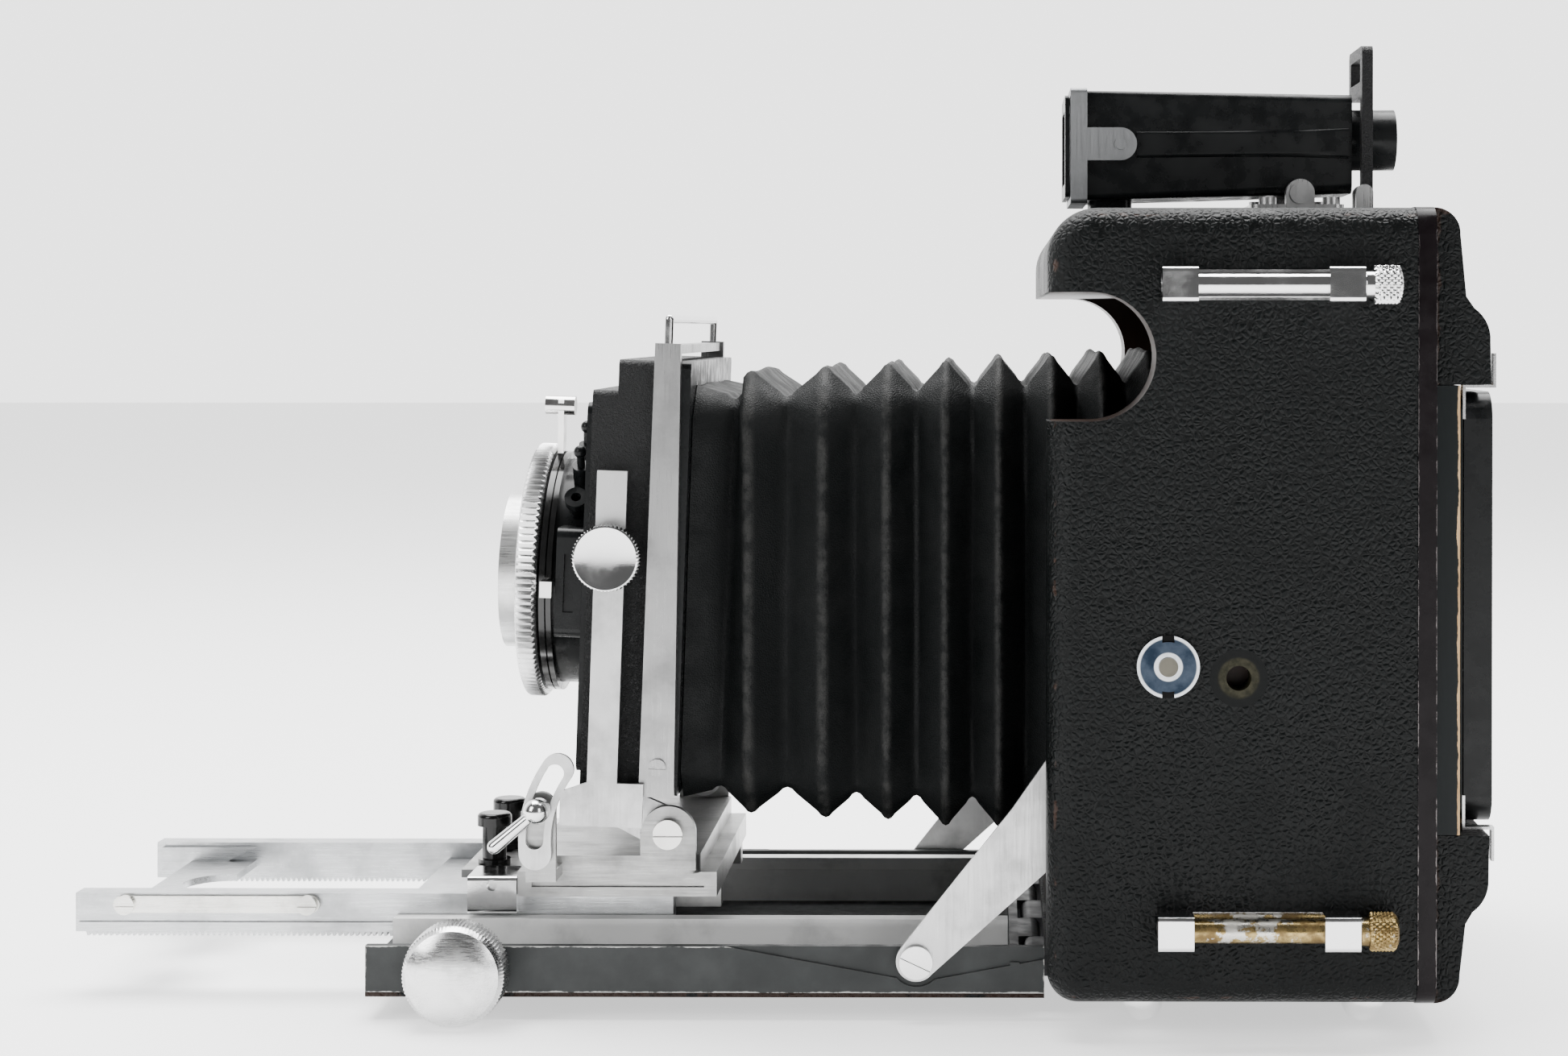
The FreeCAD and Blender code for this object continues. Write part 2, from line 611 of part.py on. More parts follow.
def knuckles(spans, web_x):
    """Hinge knuckles along Y, each with a web to its own side, bored for the pin."""
    made = []
    for y_span in spans:
        barrel = rod((HINGE_X, y_span[0], HINGE_Z), ALONG_Y, HINGE_R, y_span[1] - y_span[0])
        web = box(web_x, y_span, (HINGE_Z - HINGE_R, HINGE_Z + HINGE_R))
        bore = rod((HINGE_X, y_span[0] - 1, HINGE_Z), ALONG_Y,
                   HINGE_PIN_R + 0.04, y_span[1] - y_span[0] + 2)
        made.append(fuse(barrel, web).cut(bore))
    return made


def make_hinge():
    fixed = knuckles(HINGE_FIXED_Y, (HINGE_X, HINGE_LEAF_REAR))
    pin = rod((HINGE_X, -60, HINGE_Z), ALONG_Y, HINGE_PIN_R, 120)
    save("bed_hinge", pin, *fixed)


def make_bed():
    floor = box((BED_FRONT, BED_REAR), (-BED_HALF, BED_HALF), BED_FLOOR)
    cheek = box((BED_FRONT, CHEEK_REAR), (-BED_HALF, -BED_HALF + BED_CHEEK), (BED_FLOOR[0], BED_TOP))
    recess = prism(((-138.4, BED_TOP + 1), (-88.5, 1.9), (-77.3, 1.55),
                    (CHEEK_REAR + 1, 7.0), (CHEEK_REAR + 1, BED_TOP + 1)),
                   (-BED_HALF - 1, -BED_HALF + 0.7))
    notch = rod((STRUT_LOW[0], -BED_HALF - 1, STRUT_LOW[1]), ALONG_Y, CHEEK_NOTCH_R, 1.7)
    cheek = cheek.cut(recess).cut(notch)
    front_lip = box((BED_FRONT, BED_FRONT + 2.5), (-BED_HALF, BED_HALF), (BED_FLOOR[0], 4.6))
    rear_lip = box((BED_REAR - 2.5, BED_REAR), (-BED_HALF, BED_HALF), (BED_FLOOR[0], 6.0))
    tray = fuse(floor, cheek, mirrored(cheek), front_lip, rear_lip,
                *knuckles(((-36, -12.3), (12.3, 36)), (BED_REAR - 0.5, HINGE_X)))
    tray = tray.cut(rod((PINION_X, -BED_HALF - 5, SHAFT_Z), ALONG_Y,
                        SHAFT_R + SHAFT_FIT, 2 * BED_HALF + 10))
    for y in (-BED_HALF - 5, BED_HALF - 10):
        tray = tray.cut(rod((STRUT_LOW[0], y, STRUT_LOW[1]), ALONG_Y, STRUT_SCREW_R, 15))
    save("bed_tray", tray)
    cover = box((BED_FRONT, BED_REAR), (-BED_HALF, BED_HALF), (BED_BOTTOM, BED_FLOOR[0]))
    tab = box((BED_REAR - 1, CHEEK_REAR), (-BED_HALF, -BED_HALF + BED_CHEEK), (BED_BOTTOM, BED_FLOOR[0]))
    save("bed_cover", fuse(cover, tab, mirrored(tab)))

    track = box((BED_FRONT + 2.6, -58.5), TRACK_Y, (BED_FLOOR[1], TRACK_TOP))
    groove = box((BED_FRONT - 1, 0), (TRACK_Y[0] - 1, TRACK_Y[0] + TONGUE_OUT),
                 (TONGUE_Z[0] - 0.3, TONGUE_Z[1] + 0.3))
    track = track.cut(groove)
    track = track.cut(rod((PINION_X, TRACK_Y[0] - 1, SHAFT_Z), ALONG_Y, SHAFT_R + SHAFT_FIT, 10))
    save("fixed_tracks", *both_sides(track))

    screw = slotted_screw((STRUT_LOW[0], -STRUT_Y[1] - 2.0, STRUT_LOW[1]), ALONG_Y,
                          STRUT_HEAD_R, 1.7, STRUT_SCREW_R, 5.6, STRUT_SLOT_TURN)
    save("strut_screws", *both_sides(screw))


def make_struts():
    run = math.hypot(STRUT_HIGH[0] - STRUT_LOW[0], STRUT_HIGH[1] - STRUT_LOW[1])
    rise = math.degrees(math.atan2(STRUT_HIGH[1] - STRUT_LOW[1], STRUT_HIGH[0] - STRUT_LOW[0]))
    thick = STRUT_Y[1] - STRUT_Y[0]
    top = run + STRUT_SLOT_RUN[1]
    lower = rod((0, -STRUT_Y[1], 0), ALONG_Y, STRUT_END_R, thick)
    upper = rod((top, -STRUT_Y[1], 0), ALONG_Y, STRUT_TOP_R, thick)
    middle = 0.42 * top
    blade = prism(((0, -STRUT_END_R), (middle, -STRUT_BELLY[0]), (top, -STRUT_TOP_R),
                   (top, STRUT_TOP_R), (middle, STRUT_BELLY[1]), (0, STRUT_END_R)),
                  (-STRUT_Y[1], -STRUT_Y[0]))
    strut = fuse(lower, upper, blade)
    start = run + STRUT_SLOT_RUN[0]
    slot_length = STRUT_SLOT_RUN[1] - STRUT_SLOT_RUN[0]
    slot = box((start, start + slot_length), (-STRUT_Y[1] - 1, -STRUT_Y[0] + 1),
               (-STRUT_SLOT_R, STRUT_SLOT_R))
    slot = slot.fuse([rod((x, -STRUT_Y[1] - 1, 0), ALONG_Y, STRUT_SLOT_R, thick + 2)
                      for x in (start, start + slot_length)])
    bore = rod((0, -STRUT_Y[1] - 1, 0), ALONG_Y, STRUT_SCREW_R + 0.05, thick + 2)
    strut = strut.cut(slot.fuse(bore))
    strut.rotate(ORIGIN, ALONG_Y, -rise)
    strut.translate(V(STRUT_LOW[0], 0, STRUT_LOW[1]))
    save("near_strut", strut)
    save("far_strut", mirrored(strut))


# ---------------------------------------------------------------- focusing rails


def rack_outline():
    """Side outline of one rail with its rack cut along the underside, tooth spaces over the pinion."""
    half_tip = PITCH / 4 - 0.22 * GEAR_MODULE
    half_root = PITCH / 4 + 0.35 * GEAR_MODULE
    outline = [(RAIL_X[0], RAIL_TOP), (RAIL_X[0], RAIL_ROOT)]
    first = math.ceil((RAIL_X[0] + 2 - PINION_X) / PITCH - 0.5)
    last = math.floor((RAIL_X[1] - 2 - PINION_X) / PITCH - 0.5)
    for index in range(first, last + 1):
        middle = PINION_X + (index + 0.5) * PITCH
        outline += [(middle - half_root, RAIL_ROOT), (middle - half_tip, RACK_TIP),
                    (middle + half_tip, RACK_TIP), (middle + half_root, RAIL_ROOT)]
    outline += [(RAIL_X[1], RAIL_ROOT), (RAIL_X[1], RAIL_TOP)]
    return outline


def make_rails():
    rail = prism(rack_outline(), (-RAIL_Y[1], -RAIL_Y[0]))
    tongue = box((RAIL_X[0] + 1, RAIL_X[1] - 1), (-RAIL_Y[1] - TONGUE_OUT, -RAIL_Y[1]), TONGUE_Z)
    rail = fuse(rail, tongue)
    save("focus_rails", *both_sides(rail))

    inner = RAIL_Y[0]
    front = box((-303, -284), (-inner, inner), (11.0, 13.0))
    gusset = prism(((-312, 9.0), (-300, 9.0), (-284, 17.0), (-312, 17.0)), (-inner, -inner + 2))
    front = fuse(front, gusset, mirrored(gusset))
    scallop = rod((-284, 0, 10), ALONG_Z, 12, 4)
    rear = box((-226, -212), (-inner, inner), (11.5, 13.5))
    save("rail_braces", front.cut(scallop), rear)

    strip = box((-301, -249), (-RAIL_Y[1] - 1.3, -RAIL_Y[1]), (13.0, 17.6))
    solids = []
    for x in (-301.0, -249.0):
        strip = strip.fuse(rod((x, -RAIL_Y[1] - 1.3, 15.3), ALONG_Y, 2.3, 1.3))
    strip = strip.removeSplitter()
    for x in (-300.0, -250.0):
        solids.append(slotted_screw((x, -RAIL_Y[1] - 2.7, 15.3), ALONG_Y, 2.65, 1.4, 0.9, 1.2))
        strip = strip.cut(rod((x, -RAIL_Y[1] - 2, 15.3), ALONG_Y, 0.9, 3))
    save("rail_guide_strip", strip, *solids)


def pinion_wire(y):
    """One gear outline in the XZ plane about the pinion axis, a tooth pointing straight up."""
    tip_r = PITCH_R + GEAR_MODULE - 0.05
    root_r = PITCH_R - 1.1 * GEAR_MODULE
    step = 2 * math.pi / PINION_TEETH
    points = []
    for tooth in range(PINION_TEETH):
        middle = tooth * step
        for offset, radius in ((-0.27, root_r), (-0.1, tip_r), (0.1, tip_r), (0.27, root_r)):
            angle = middle + offset * step
            points.append(V(PINION_X + radius * math.sin(angle), y, SHAFT_Z + radius * math.cos(angle)))
    return Part.makePolygon(points + points[:1])


def make_pinion():
    reach = KNOB_Y[0] + 6
    shaft = rod((PINION_X, -reach, SHAFT_Z), ALONG_Y, SHAFT_R, 2 * reach)
    width = RAIL_Y[1] - RAIL_Y[0]
    gears = [Part.Face(pinion_wire(y)).extrude(V(0, width, 0)) for y in (-RAIL_Y[1], RAIL_Y[0])]
    save("pinion_shaft", fuse(shaft, *gears))
    rim = KNOB_Y[1] - 4.0
    disc = rod((PINION_X, -rim, SHAFT_Z), ALONG_Y, KNOB_R, rim - KNOB_Y[0])
    dome_r = (KNOB_R ** 2 + 16.0) / 8.0
    ball = Part.makeSphere(dome_r, V(PINION_X, -KNOB_Y[1] + dome_r, SHAFT_Z))
    dome = ball.common(rod((PINION_X, -KNOB_Y[1] - 1, SHAFT_Z), ALONG_Y, KNOB_R, 5.0))
    knob = fuse(disc, dome).cut(rod((PINION_X, -reach, SHAFT_Z), ALONG_Y, SHAFT_R, 20))
    save("focus_knobs", *both_sides(knob))


def make_stops():
    block = box(STOP_X, (-CARRIAGE_HALF, -29.5), (13.6, 23.8))
    channel = box((STOP_X[0] - 1, STOP_X[1] + 1), (-RAIL_Y[1] - 0.3, -RAIL_Y[0] + 0.3),
                  (10, RAIL_TOP + 0.3))
    block = rounded(block, ALONG_X, 1.2).cut(channel)
    middle = 0.5 * (STOP_X[0] + STOP_X[1])
    block = block.cut(rod((middle, -CARRIAGE_HALF - 1, 21.4), ALONG_Y, 1.5, 2.4))
    save("near_infinity_stop", block)
    save("far_infinity_stop", mirrored(block))


# ---------------------------------------------------------------- carriage


def make_carriage():
    plate = box(CARRIAGE_X, (-CARRIAGE_HALF, CARRIAGE_HALF), CARRIAGE_Z)
    groove = box((-188, -141), (-CARRIAGE_HALF - 1, -CARRIAGE_HALF + 1.2), (21.0, 22.8))
    plate = plate.cut(groove).cut(mirrored(groove))
    low = (13.2, CARRIAGE_Z[0])
    keepers = both_sides(box(CARRIAGE_X, (-RAIL_Y[0] + 0.3, -28), low))
    tongue = box((-212, CARRIAGE_X[0]), (-20, 20), (CARRIAGE_Z[0], 20.7))
    platform = box((-188, -142), (-EAR_Y[1], EAR_Y[1]), (CARRIAGE_Z[1], PLATFORM_TOP))
    platform = rounded(platform, ALONG_Z, 4.0)
    ear = box((-158, -143), (-EAR_Y[1], -EAR_Y[0]), (PLATFORM_TOP - 4, TILT_Z))
    ear = ear.fuse(rod((TILT_X, -EAR_Y[1], TILT_Z), ALONG_Y, 7.4, EAR_Y[1] - EAR_Y[0]))
    whole = fuse(plate, platform, ear, mirrored(ear), *keepers)
    for y in (-EAR_Y[1] - 1, EAR_Y[0] - 1):
        whole = whole.cut(rod((TILT_X, y, TILT_Z), ALONG_Y, 2.5, 5))
    shelf = box((LOCK_X - 4, LOCK_X + 4), (-60.5, -EAR_Y[1] + 1), (CARRIAGE_Z[1], 28.2))
    post = box((LOCK_X - 4, LOCK_X + 4), (-60.5, -58.3), (CARRIAGE_Z[1], LOCK_Z))
    post = post.fuse(rod((LOCK_X, -60.5, LOCK_Z), ALONG_Y, 4.0, 2.2))
    stud = rod((LOCK_X, -64.4, LOCK_Z), ALONG_Y, 2.0, 5)
    whole = fuse(whole, shelf, post, stud)
    slots = [box((PINCH_X - 1.6, PINCH_X + 1.6), span, (10, 30)) for span in ((-15, -6), (6, 15))]
    save("carriage", whole, tongue.cut(slots[0]).cut(slots[1]))
    screw = slotted_screw((TILT_X, -EAR_Y[1] - 2.4, TILT_Z), ALONG_Y, 4.0, 2.4, 2.5, 5.4)
    save("tilt_screws", *both_sides(screw))


def make_pinch_knobs():
    foot = rod((PINCH_X, -PINCH_Y, 18.0), ALONG_Z, 1.4, 3.2)
    waist = rod((PINCH_X, -PINCH_Y, 21.0), ALONG_Z, 3.4, 12.0)
    flange = rod((PINCH_X, -PINCH_Y, 21.0), ALONG_Z, 4.6, 1.6)
    cap = rod((PINCH_X, -PINCH_Y, 32.0), ALONG_Z, 4.8, 3.6)
    cap = cap.makeFillet(1.2, [edge for edge in cap.Edges if edge.BoundBox.ZMin > 35.5])
    spool = fuse(foot, flange, waist, cap)
    save("near_pinch_knob", spool)
    save("far_pinch_knob", mirrored(spool))


def make_tilt_lever():
    ball = Part.makeSphere(3.4, V(LOCK_X, -67.6, LOCK_Z))
    hub = rod((LOCK_X, -66.6, LOCK_Z), ALONG_Y, 3.2, 2.6)
    reach = 14.5
    drop = math.radians(40)
    end = V(LOCK_X - reach * math.cos(drop), -67.6, LOCK_Z - reach * math.sin(drop))
    direction = end - V(LOCK_X, -67.6, LOCK_Z)
    handle = Part.makeCone(1.5, 1.9, reach, V(LOCK_X, -67.6, LOCK_Z), direction)
    tip = Part.makeSphere(1.9, end)
    lever = fuse(ball, hub, handle, tip)
    save("near_tilt_lever", lever.cut(rod((LOCK_X, -65.6, LOCK_Z), ALONG_Y, 2.05, 5)))


# ---------------------------------------------------------------- front standard

def arc_band(y_span, half, low, high):
    """A round-ended band on the lock's arc, between two angles measured up from -X."""
    centre = V(TILT_X, 0, TILT_Z)
    length = y_span[1] - y_span[0]
    inner = TILT_X - ARC_R + half
    outer = TILT_X - ARC_R - half
    corners = [V(outer, y_span[0], TILT_Z), V(inner, y_span[0], TILT_Z),
               V(inner, y_span[1], TILT_Z), V(outer, y_span[1], TILT_Z)]
    face = Part.Face(Part.makePolygon(corners + corners[:1]))
    face.rotate(centre, ALONG_Y, low)
    band = face.revolve(centre, ALONG_Y, high - low)
    for angle in (low, high):
        end = rod((TILT_X - ARC_R, y_span[0], TILT_Z), ALONG_Y, half, length)
        end.rotate(centre, ALONG_Y, angle)
        band = band.fuse(end)
    return band.removeSplitter()


def make_uprights():
    near = (-UPRIGHT_Y[1], -UPRIGHT_Y[0])
    strip = box(UPRIGHT_X, near, (FOOT_BAR_Z[0], UPRIGHT_TOP))
    foot_x = (UPRIGHT_X[0] - 7, UPRIGHT_X[1] + 7)
    foot_top = FOOT_BAR_Z[0] + 11.6
    foot = prism(((foot_x[0], FOOT_BAR_Z[0]), (foot_x[1], FOOT_BAR_Z[0]), (foot_x[1], foot_top),
                  (UPRIGHT_X[0], foot_top), (foot_x[0], foot_top - 2.6)), near)
    arc = arc_band(near, 4.3, -7, 33).cut(arc_band((near[0] - 1, near[1] + 1), 2.4, -1, 31))
    bracket = prism(((TILT_X - 2, TILT_Z - 5.1), (TILT_X + 5, TILT_Z), (TILT_X + 4, TILT_Z + 5),
                     (TILT_X - 8, FOOT_BAR_Z[1]),
                      (UPRIGHT_X[0], FOOT_BAR_Z[1]), (UPRIGHT_X[0], FOOT_BAR_Z[0])),
                    (-BRACKET_Y[1], -BRACKET_Y[0]))
    bracket = bracket.fuse(rod((TILT_X, -BRACKET_Y[1], TILT_Z), ALONG_Y, 5.4, BRACKET_Y[1] - BRACKET_Y[0]))
    bracket = bracket.cut(rod((TILT_X, -BRACKET_Y[1] - 1, TILT_Z), ALONG_Y, 2.56, 5))
    bar = box(UPRIGHT_X, (-UPRIGHT_Y[1], UPRIGHT_Y[1]), FOOT_BAR_Z)
    side = fuse(strip, foot, arc, bracket)
    frame = fuse(bar, side, mirrored(side))
    middle = 0.5 * (UPRIGHT_X[0] + UPRIGHT_X[1])
    for y in (-UPRIGHT_Y[1] - 1, UPRIGHT_Y[0] - 1):
        frame = frame.cut(rod((middle, y, RISE_KNOB_Z), ALONG_Y, 2.06, 4))
    save("standard_uprights", lean(frame))

    stud = rod((middle, -UPRIGHT_Y[0] - 8, RISE_KNOB_Z), ALONG_Y, 2.0, 8)
    collar = rod((middle, -UPRIGHT_Y[1] - 1.8, RISE_KNOB_Z), ALONG_Y, 5.0, 1.7)
    wheel = rod((middle, -UPRIGHT_Y[1] - 9.0, RISE_KNOB_Z), ALONG_Y, RISE_KNOB_R, 7.4)
    wheel = wheel.makeFillet(0.8, [edge for edge in wheel.Edges if isinstance(edge.Curve, Part.Circle)])
    knob = fuse(stud, collar, wheel)
    save("near_rise_knob", lean(knob))
    save("far_rise_knob", lean(mirrored(knob)))


def make_lens_box():
    main = box(BOX_X, (-BOX_HALF, BOX_HALF), BOX_Z)
    step = box((BLOCK_X, BOX_X[1]), (-BOX_HALF, BOX_HALF), (BOX_Z[1] - 1, BLOCK_TOP))
    shell = rounded(fuse(main, step), ALONG_X, 2.0)
    hollow = box((BOX_X[0] + 4, BOX_X[1] + 1), (-BOX_HALF + 4, BOX_HALF - 4), (BOX_Z[0] + 4, BOX_Z[1] - 4))
    port = rod((BOX_X[0] - 1, 0, LENS_Z), ALONG_X, 42.0, 10)
    shell = shell.cut(hollow).cut(port)
    rib = box((UPRIGHT_X[0] + 1, UPRIGHT_X[1] - 1), (-UPRIGHT_Y[0] + 0.2, -BOX_HALF), (52.0, 130.0))
    shell = fuse(shell, rib, mirrored(rib))
    save("lens_box", lean(shell))
    plate = box((BOX_X[1], BOX_X[1] + 2.5), (-BOX_HALF, BOX_HALF), (BOX_Z[0], BLOCK_TOP))
    plate = rounded(plate, ALONG_X, 2.0).cut(box((-155, -145), (-44, 44), (60.0, 144.0)))
    save("standard_rear_plate", lean(plate))
    board = rounded(box((BOARD_FRONT, BOX_X[0]), (-50, 50), (LENS_Z - 50, LENS_Z + 50)), ALONG_X, 3.0)
    board = board.cut(rod((BOARD_FRONT - 1, 0, LENS_Z), ALONG_X, 20.0, 10))
    slide = box((BOARD_FRONT - 1.2, BOARD_FRONT), (-34, 34), (LENS_Z + 42.0, LENS_Z + 47.0))
    save("lens_board", lean(fuse(board, slide)))


def make_wire_finder():
    """Two chrome channels joined by a bridge, and the wire frame that slides up out of them."""
    channel = prism(((-157.4, 48.0), (-148.0, 48.0), (-150.2, 169.0), (-157.0, 169.0)), CHANNEL_Y)
    bridge = box((-156.0, -151.2), (-60, 60), (166.2, 168.6))
    screw = slotted_screw((-152.6, CHANNEL_Y[0] - 0.9, 56.0), ALONG_Y, 2.3, 0.9, 1.0, 0.4)
    bore = rod((WIRE_X, WIRE_Y, WIRE_LOW - 1), ALONG_Z, WIRE_R + 0.1, 130)
    side = channel.fuse(screw).cut(bore)
    bridge = bridge.cut(bore).cut(mirrored(bore))
    save("finder_channels", lean(fuse(bridge, side, mirrored(side))))
    post = rod((WIRE_X, WIRE_Y, WIRE_LOW), ALONG_Z, WIRE_R, WIRE_HIGH - WIRE_LOW)
    top = rod((WIRE_X, WIRE_Y, WIRE_HIGH), ALONG_Y, WIRE_R, -2 * WIRE_Y)
    post = post.fuse(Part.makeSphere(WIRE_R, V(WIRE_X, WIRE_Y, WIRE_HIGH)))
    save("wire_finder", lean(fuse(top, post, mirrored(post))))


# ---------------------------------------------------------------- shutter and lens

def radial(angle, reach, x, radius, length):
    """A cylinder that stands out from the lens axis; the angle leans from straight up towards -Y."""
    turn = math.radians(angle)
    direction = V(0, -math.sin(turn), math.cos(turn))
    start = V(x, 0, LENS_Z) + direction * reach
    return Part.makeCylinder(radius, length, start, direction)


def make_shutter():
    axis_start = (SHUTTER_FRONT, 0, LENS_Z)
    body = pipe(axis_start, ALONG_X, SHUTTER_R, BORE_R, BOARD_FRONT - SHUTTER_FRONT)
    boss = pipe((RING_X[0] + 0.4, 0, LENS_Z), ALONG_X, BOSS_R, BORE_R, SHUTTER_FRONT - RING_X[0])
    thread = pipe((BOARD_FRONT - 1.5, 0, LENS_Z), ALONG_X, 19.8, GLASS_R + 0.1, 10.5)
    web = pipe((BOARD_FRONT - 1.5, 0, LENS_Z), ALONG_X, BORE_R + 0.5, GLASS_R + 0.1, 1.5)
    nut = pipe((BOX_X[0] + 4.2, 0, LENS_Z), ALONG_X, 24.0, 19.82, 2.6)
    lug = box((-184.5, -178.0), (26.5, 36.0), (LENS_Z - 25.5, LENS_Z - 17.5))
    body = fuse(body, boss, thread, web, lug)
    pin = rod((-186.2, 32.5, LENS_Z - 21.5), ALONG_X, 1.2, 4)
    save("shutter_body", lean(body.fuse(pin).removeSplitter()), lean(nut))

    ring = pipe((RING_X[0], 0, LENS_Z), ALONG_X, RING_R, BOSS_R + 0.06, RING_X[1] - RING_X[0])
    save("speed_ring", lean(ring))

    neck_start = BARREL_X[0] + RIM_LENGTH
    neck = rod((neck_start, 0, LENS_Z), ALONG_X, BARREL_R - NECK_STEP, BARREL_X[1] - neck_start)
    rim = rod((BARREL_X[0], 0, LENS_Z), ALONG_X, BARREL_R, RIM_LENGTH)
    barrel = fuse(rim, neck).cut(rod((BARREL_X[0] - 1, 0, LENS_Z), ALONG_X, GLASS_R + 0.06, 40))
    bevel = Part.makeCone(BARREL_R - 1.6, GLASS_R, 4.0, V(BARREL_X[0] - 0.01, 0, LENS_Z), ALONG_X)
    save("lens_barrel", lean(barrel.cut(bevel)))


def make_glass():
    bulge = 46.0
    centre = V(-199.0 + bulge, 0, LENS_Z)
    front = Part.makeSphere(bulge, centre).common(rod((-202, 0, LENS_Z), ALONG_X, GLASS_R, 10))
    middle = rod((-188, 0, LENS_Z), ALONG_X, GLASS_R, 4)
    back_centre = V(-167.0 - bulge, 0, LENS_Z)
    rear = Part.makeSphere(bulge, back_centre).common(rod((-173, 0, LENS_Z), ALONG_X, GLASS_R, 10))
    save("lens_glass", lean(front), lean(middle), lean(rear))


def make_iris():
    """Thin blades that lean round a central hole, in two layers so that neighbours never meet."""
    blades = []
    count = 10
    for index in range(count):
        layer = -178.1 + 0.24 * (index % 2)
        blade = box((layer, layer + 0.2), (-6.6, 6.6), (LENS_Z + 8.5, LENS_Z + 21.0))
        blade.rotate(V(0, 0, LENS_Z), ALONG_X, index * 360 / count)
        blades.append(blade)
    kept = []
    for index, blade in enumerate(blades):
        for other in range(index % 2, index, 2):
            blade = blade.cut(blades[other])
        kept.append(blade.common(rod((-179, 0, LENS_Z), ALONG_X, BORE_R - 0.4, 3)))
    save("iris_blades", *[lean(blade) for blade in kept])


def make_levers():
    hub = pipe((-190.2, 0, LENS_Z), ALONG_X, SHUTTER_R + 2.3, SHUTTER_R + 0.08, 1.6)
    arm = box((-190.2, -188.6), (-2.6, 2.6), (LENS_Z + SHUTTER_R + 1.0, LENS_Z + 50.0))
    thumb = rod((-194.0, 0, LENS_Z + 48.0), ALONG_X, 2.8, 8.4)
    thumb = thumb.cut(box((-200, -190.8), (-4, 4), (LENS_Z + 30, LENS_Z + 45.6)))
    lever = fuse(hub, arm, thumb)
    lever.rotate(V(0, 0, LENS_Z), ALONG_X, 8)
    save("cocking_lever", lean(lever))

    hub = pipe((-188.2, 0, LENS_Z), ALONG_X, SHUTTER_R + 2.3, SHUTTER_R + 0.08, 1.4)
    tab = box((-188.2, -186.8), (-2.2, 2.2), (LENS_Z + SHUTTER_R + 1.0, LENS_Z + 45.0))
    finger = box((-188.2, -185.0), (-2.2, 2.2), (LENS_Z + 42.6, LENS_Z + 45.0))
    lever = fuse(hub, tab, finger)
    lever.rotate(V(0, 0, LENS_Z), ALONG_X, 92)
    save("aperture_lever", lean(lever))

    disc = rod((-186.4, 32.5, LENS_Z - 21.5), ALONG_X, 3.4, 1.6)
    arm = box((-186.4, -184.8), (32.5, 50.0), (LENS_Z - 23.4, LENS_Z - 19.6))
    pad = rod((-188.4, 48.0, LENS_Z - 21.5), ALONG_X, 2.6, 3.6)
    lever = fuse(disc, arm, pad).cut(rod((-190, 32.5, LENS_Z - 21.5), ALONG_X, 1.25, 8))
    save("release_lever", lean(lever))


def make_fittings():
    """Flash posts, the cable-release socket and the sync housing, all on the shutter's rim."""
    solids = []
    skin = SHUTTER_R - 0.6
    for angle in (19.0, 37.0):
        bush = radial(angle, skin, -181.0, 2.4, 8.0)
        post = radial(angle, skin, -181.0, 1.1, 13.0)
        turn = math.radians(angle)
        reach = skin + 13.0
        tip = Part.makeSphere(1.8, V(-181.0, -reach * math.sin(turn), LENS_Z + reach * math.cos(turn)))
        solids.append(fuse(bush, post, tip))
    socket = fuse(radial(54.0, skin, -181.0, 2.6, 8.0), radial(54.0, skin + 5.5, -181.0, 3.2, 2.5))
    solids.append(socket.cut(radial(54.0, skin + 2.0, -181.0, 1.4, 8.0)))
    housing = box((-184.6, -177.4), (-40.5, -24.0), (LENS_Z - 15.0, LENS_Z + 15.0))
    housing = rounded(housing, ALONG_X, 2.5)
    housing = housing.cut(box((-182.4, -179.6), (-42, -39.4), (LENS_Z - 8, LENS_Z + 8)))
    solids.append(housing)
    shutter = rod((-200, 0, LENS_Z), ALONG_X, SHUTTER_R, 40)
    save("shutter_fittings", *[lean(solid.cut(shutter)) for solid in solids])


# ---------------------------------------------------------------- bellows


def bellows_loft(shrink, overrun):
    ends = []
    for x, (half, low, high) in ((BELLOWS_X[0] - overrun, BELLOWS_FRONT),
                                 (BELLOWS_X[1] + overrun, BELLOWS_REAR)):
        ends.append(rect_wire(x, half - shrink, low + shrink, high - shrink, 7.0))
    return Part.makeLoft(ends, True, True)


def make_bellows():
    save("bellows", bellows_loft(0, 0).cut(bellows_loft(BELLOWS_WALL, 0.01)))
    frame = box((BELLOWS_X[1] + 0.2, CAVITY_REAR), (-72.5, 72.5), (28.0, 178.0))
    film = box((25, 40), (-FILM_HALF_Y, FILM_HALF_Y), (FILM_LOW, FILM_HIGH))
    save("bellows_rear_frame", frame.cut(film))


def main():
    os.makedirs("parts", exist_ok=True)
    make_body()
    make_trim()
    make_sockets()
    make_strut_pins()
    make_feet()
    make_clips()
    make_back()
    make_hood()
    make_back_springs()
    make_finder()
    make_top_mounts()
    make_peep_sight()
    make_hinge()
    make_bed()
    make_struts()
    make_rails()
    make_pinion()
    make_stops()
    make_carriage()
    make_pinch_knobs()
    make_tilt_lever()
    make_uprights()
    make_lens_box()
    make_wire_finder()
    make_shutter()
    make_glass()
    make_iris()
    make_levers()
    make_fittings()
    make_bellows()


main()
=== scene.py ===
"""Looks of the folding-bed view camera: materials, pleated bellows, knurled controls, light and camera.

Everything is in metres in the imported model's frame: the lens looks along -X and +Z is up.
"""
import bpy
import bmesh
import math
from mathutils import Matrix, Vector


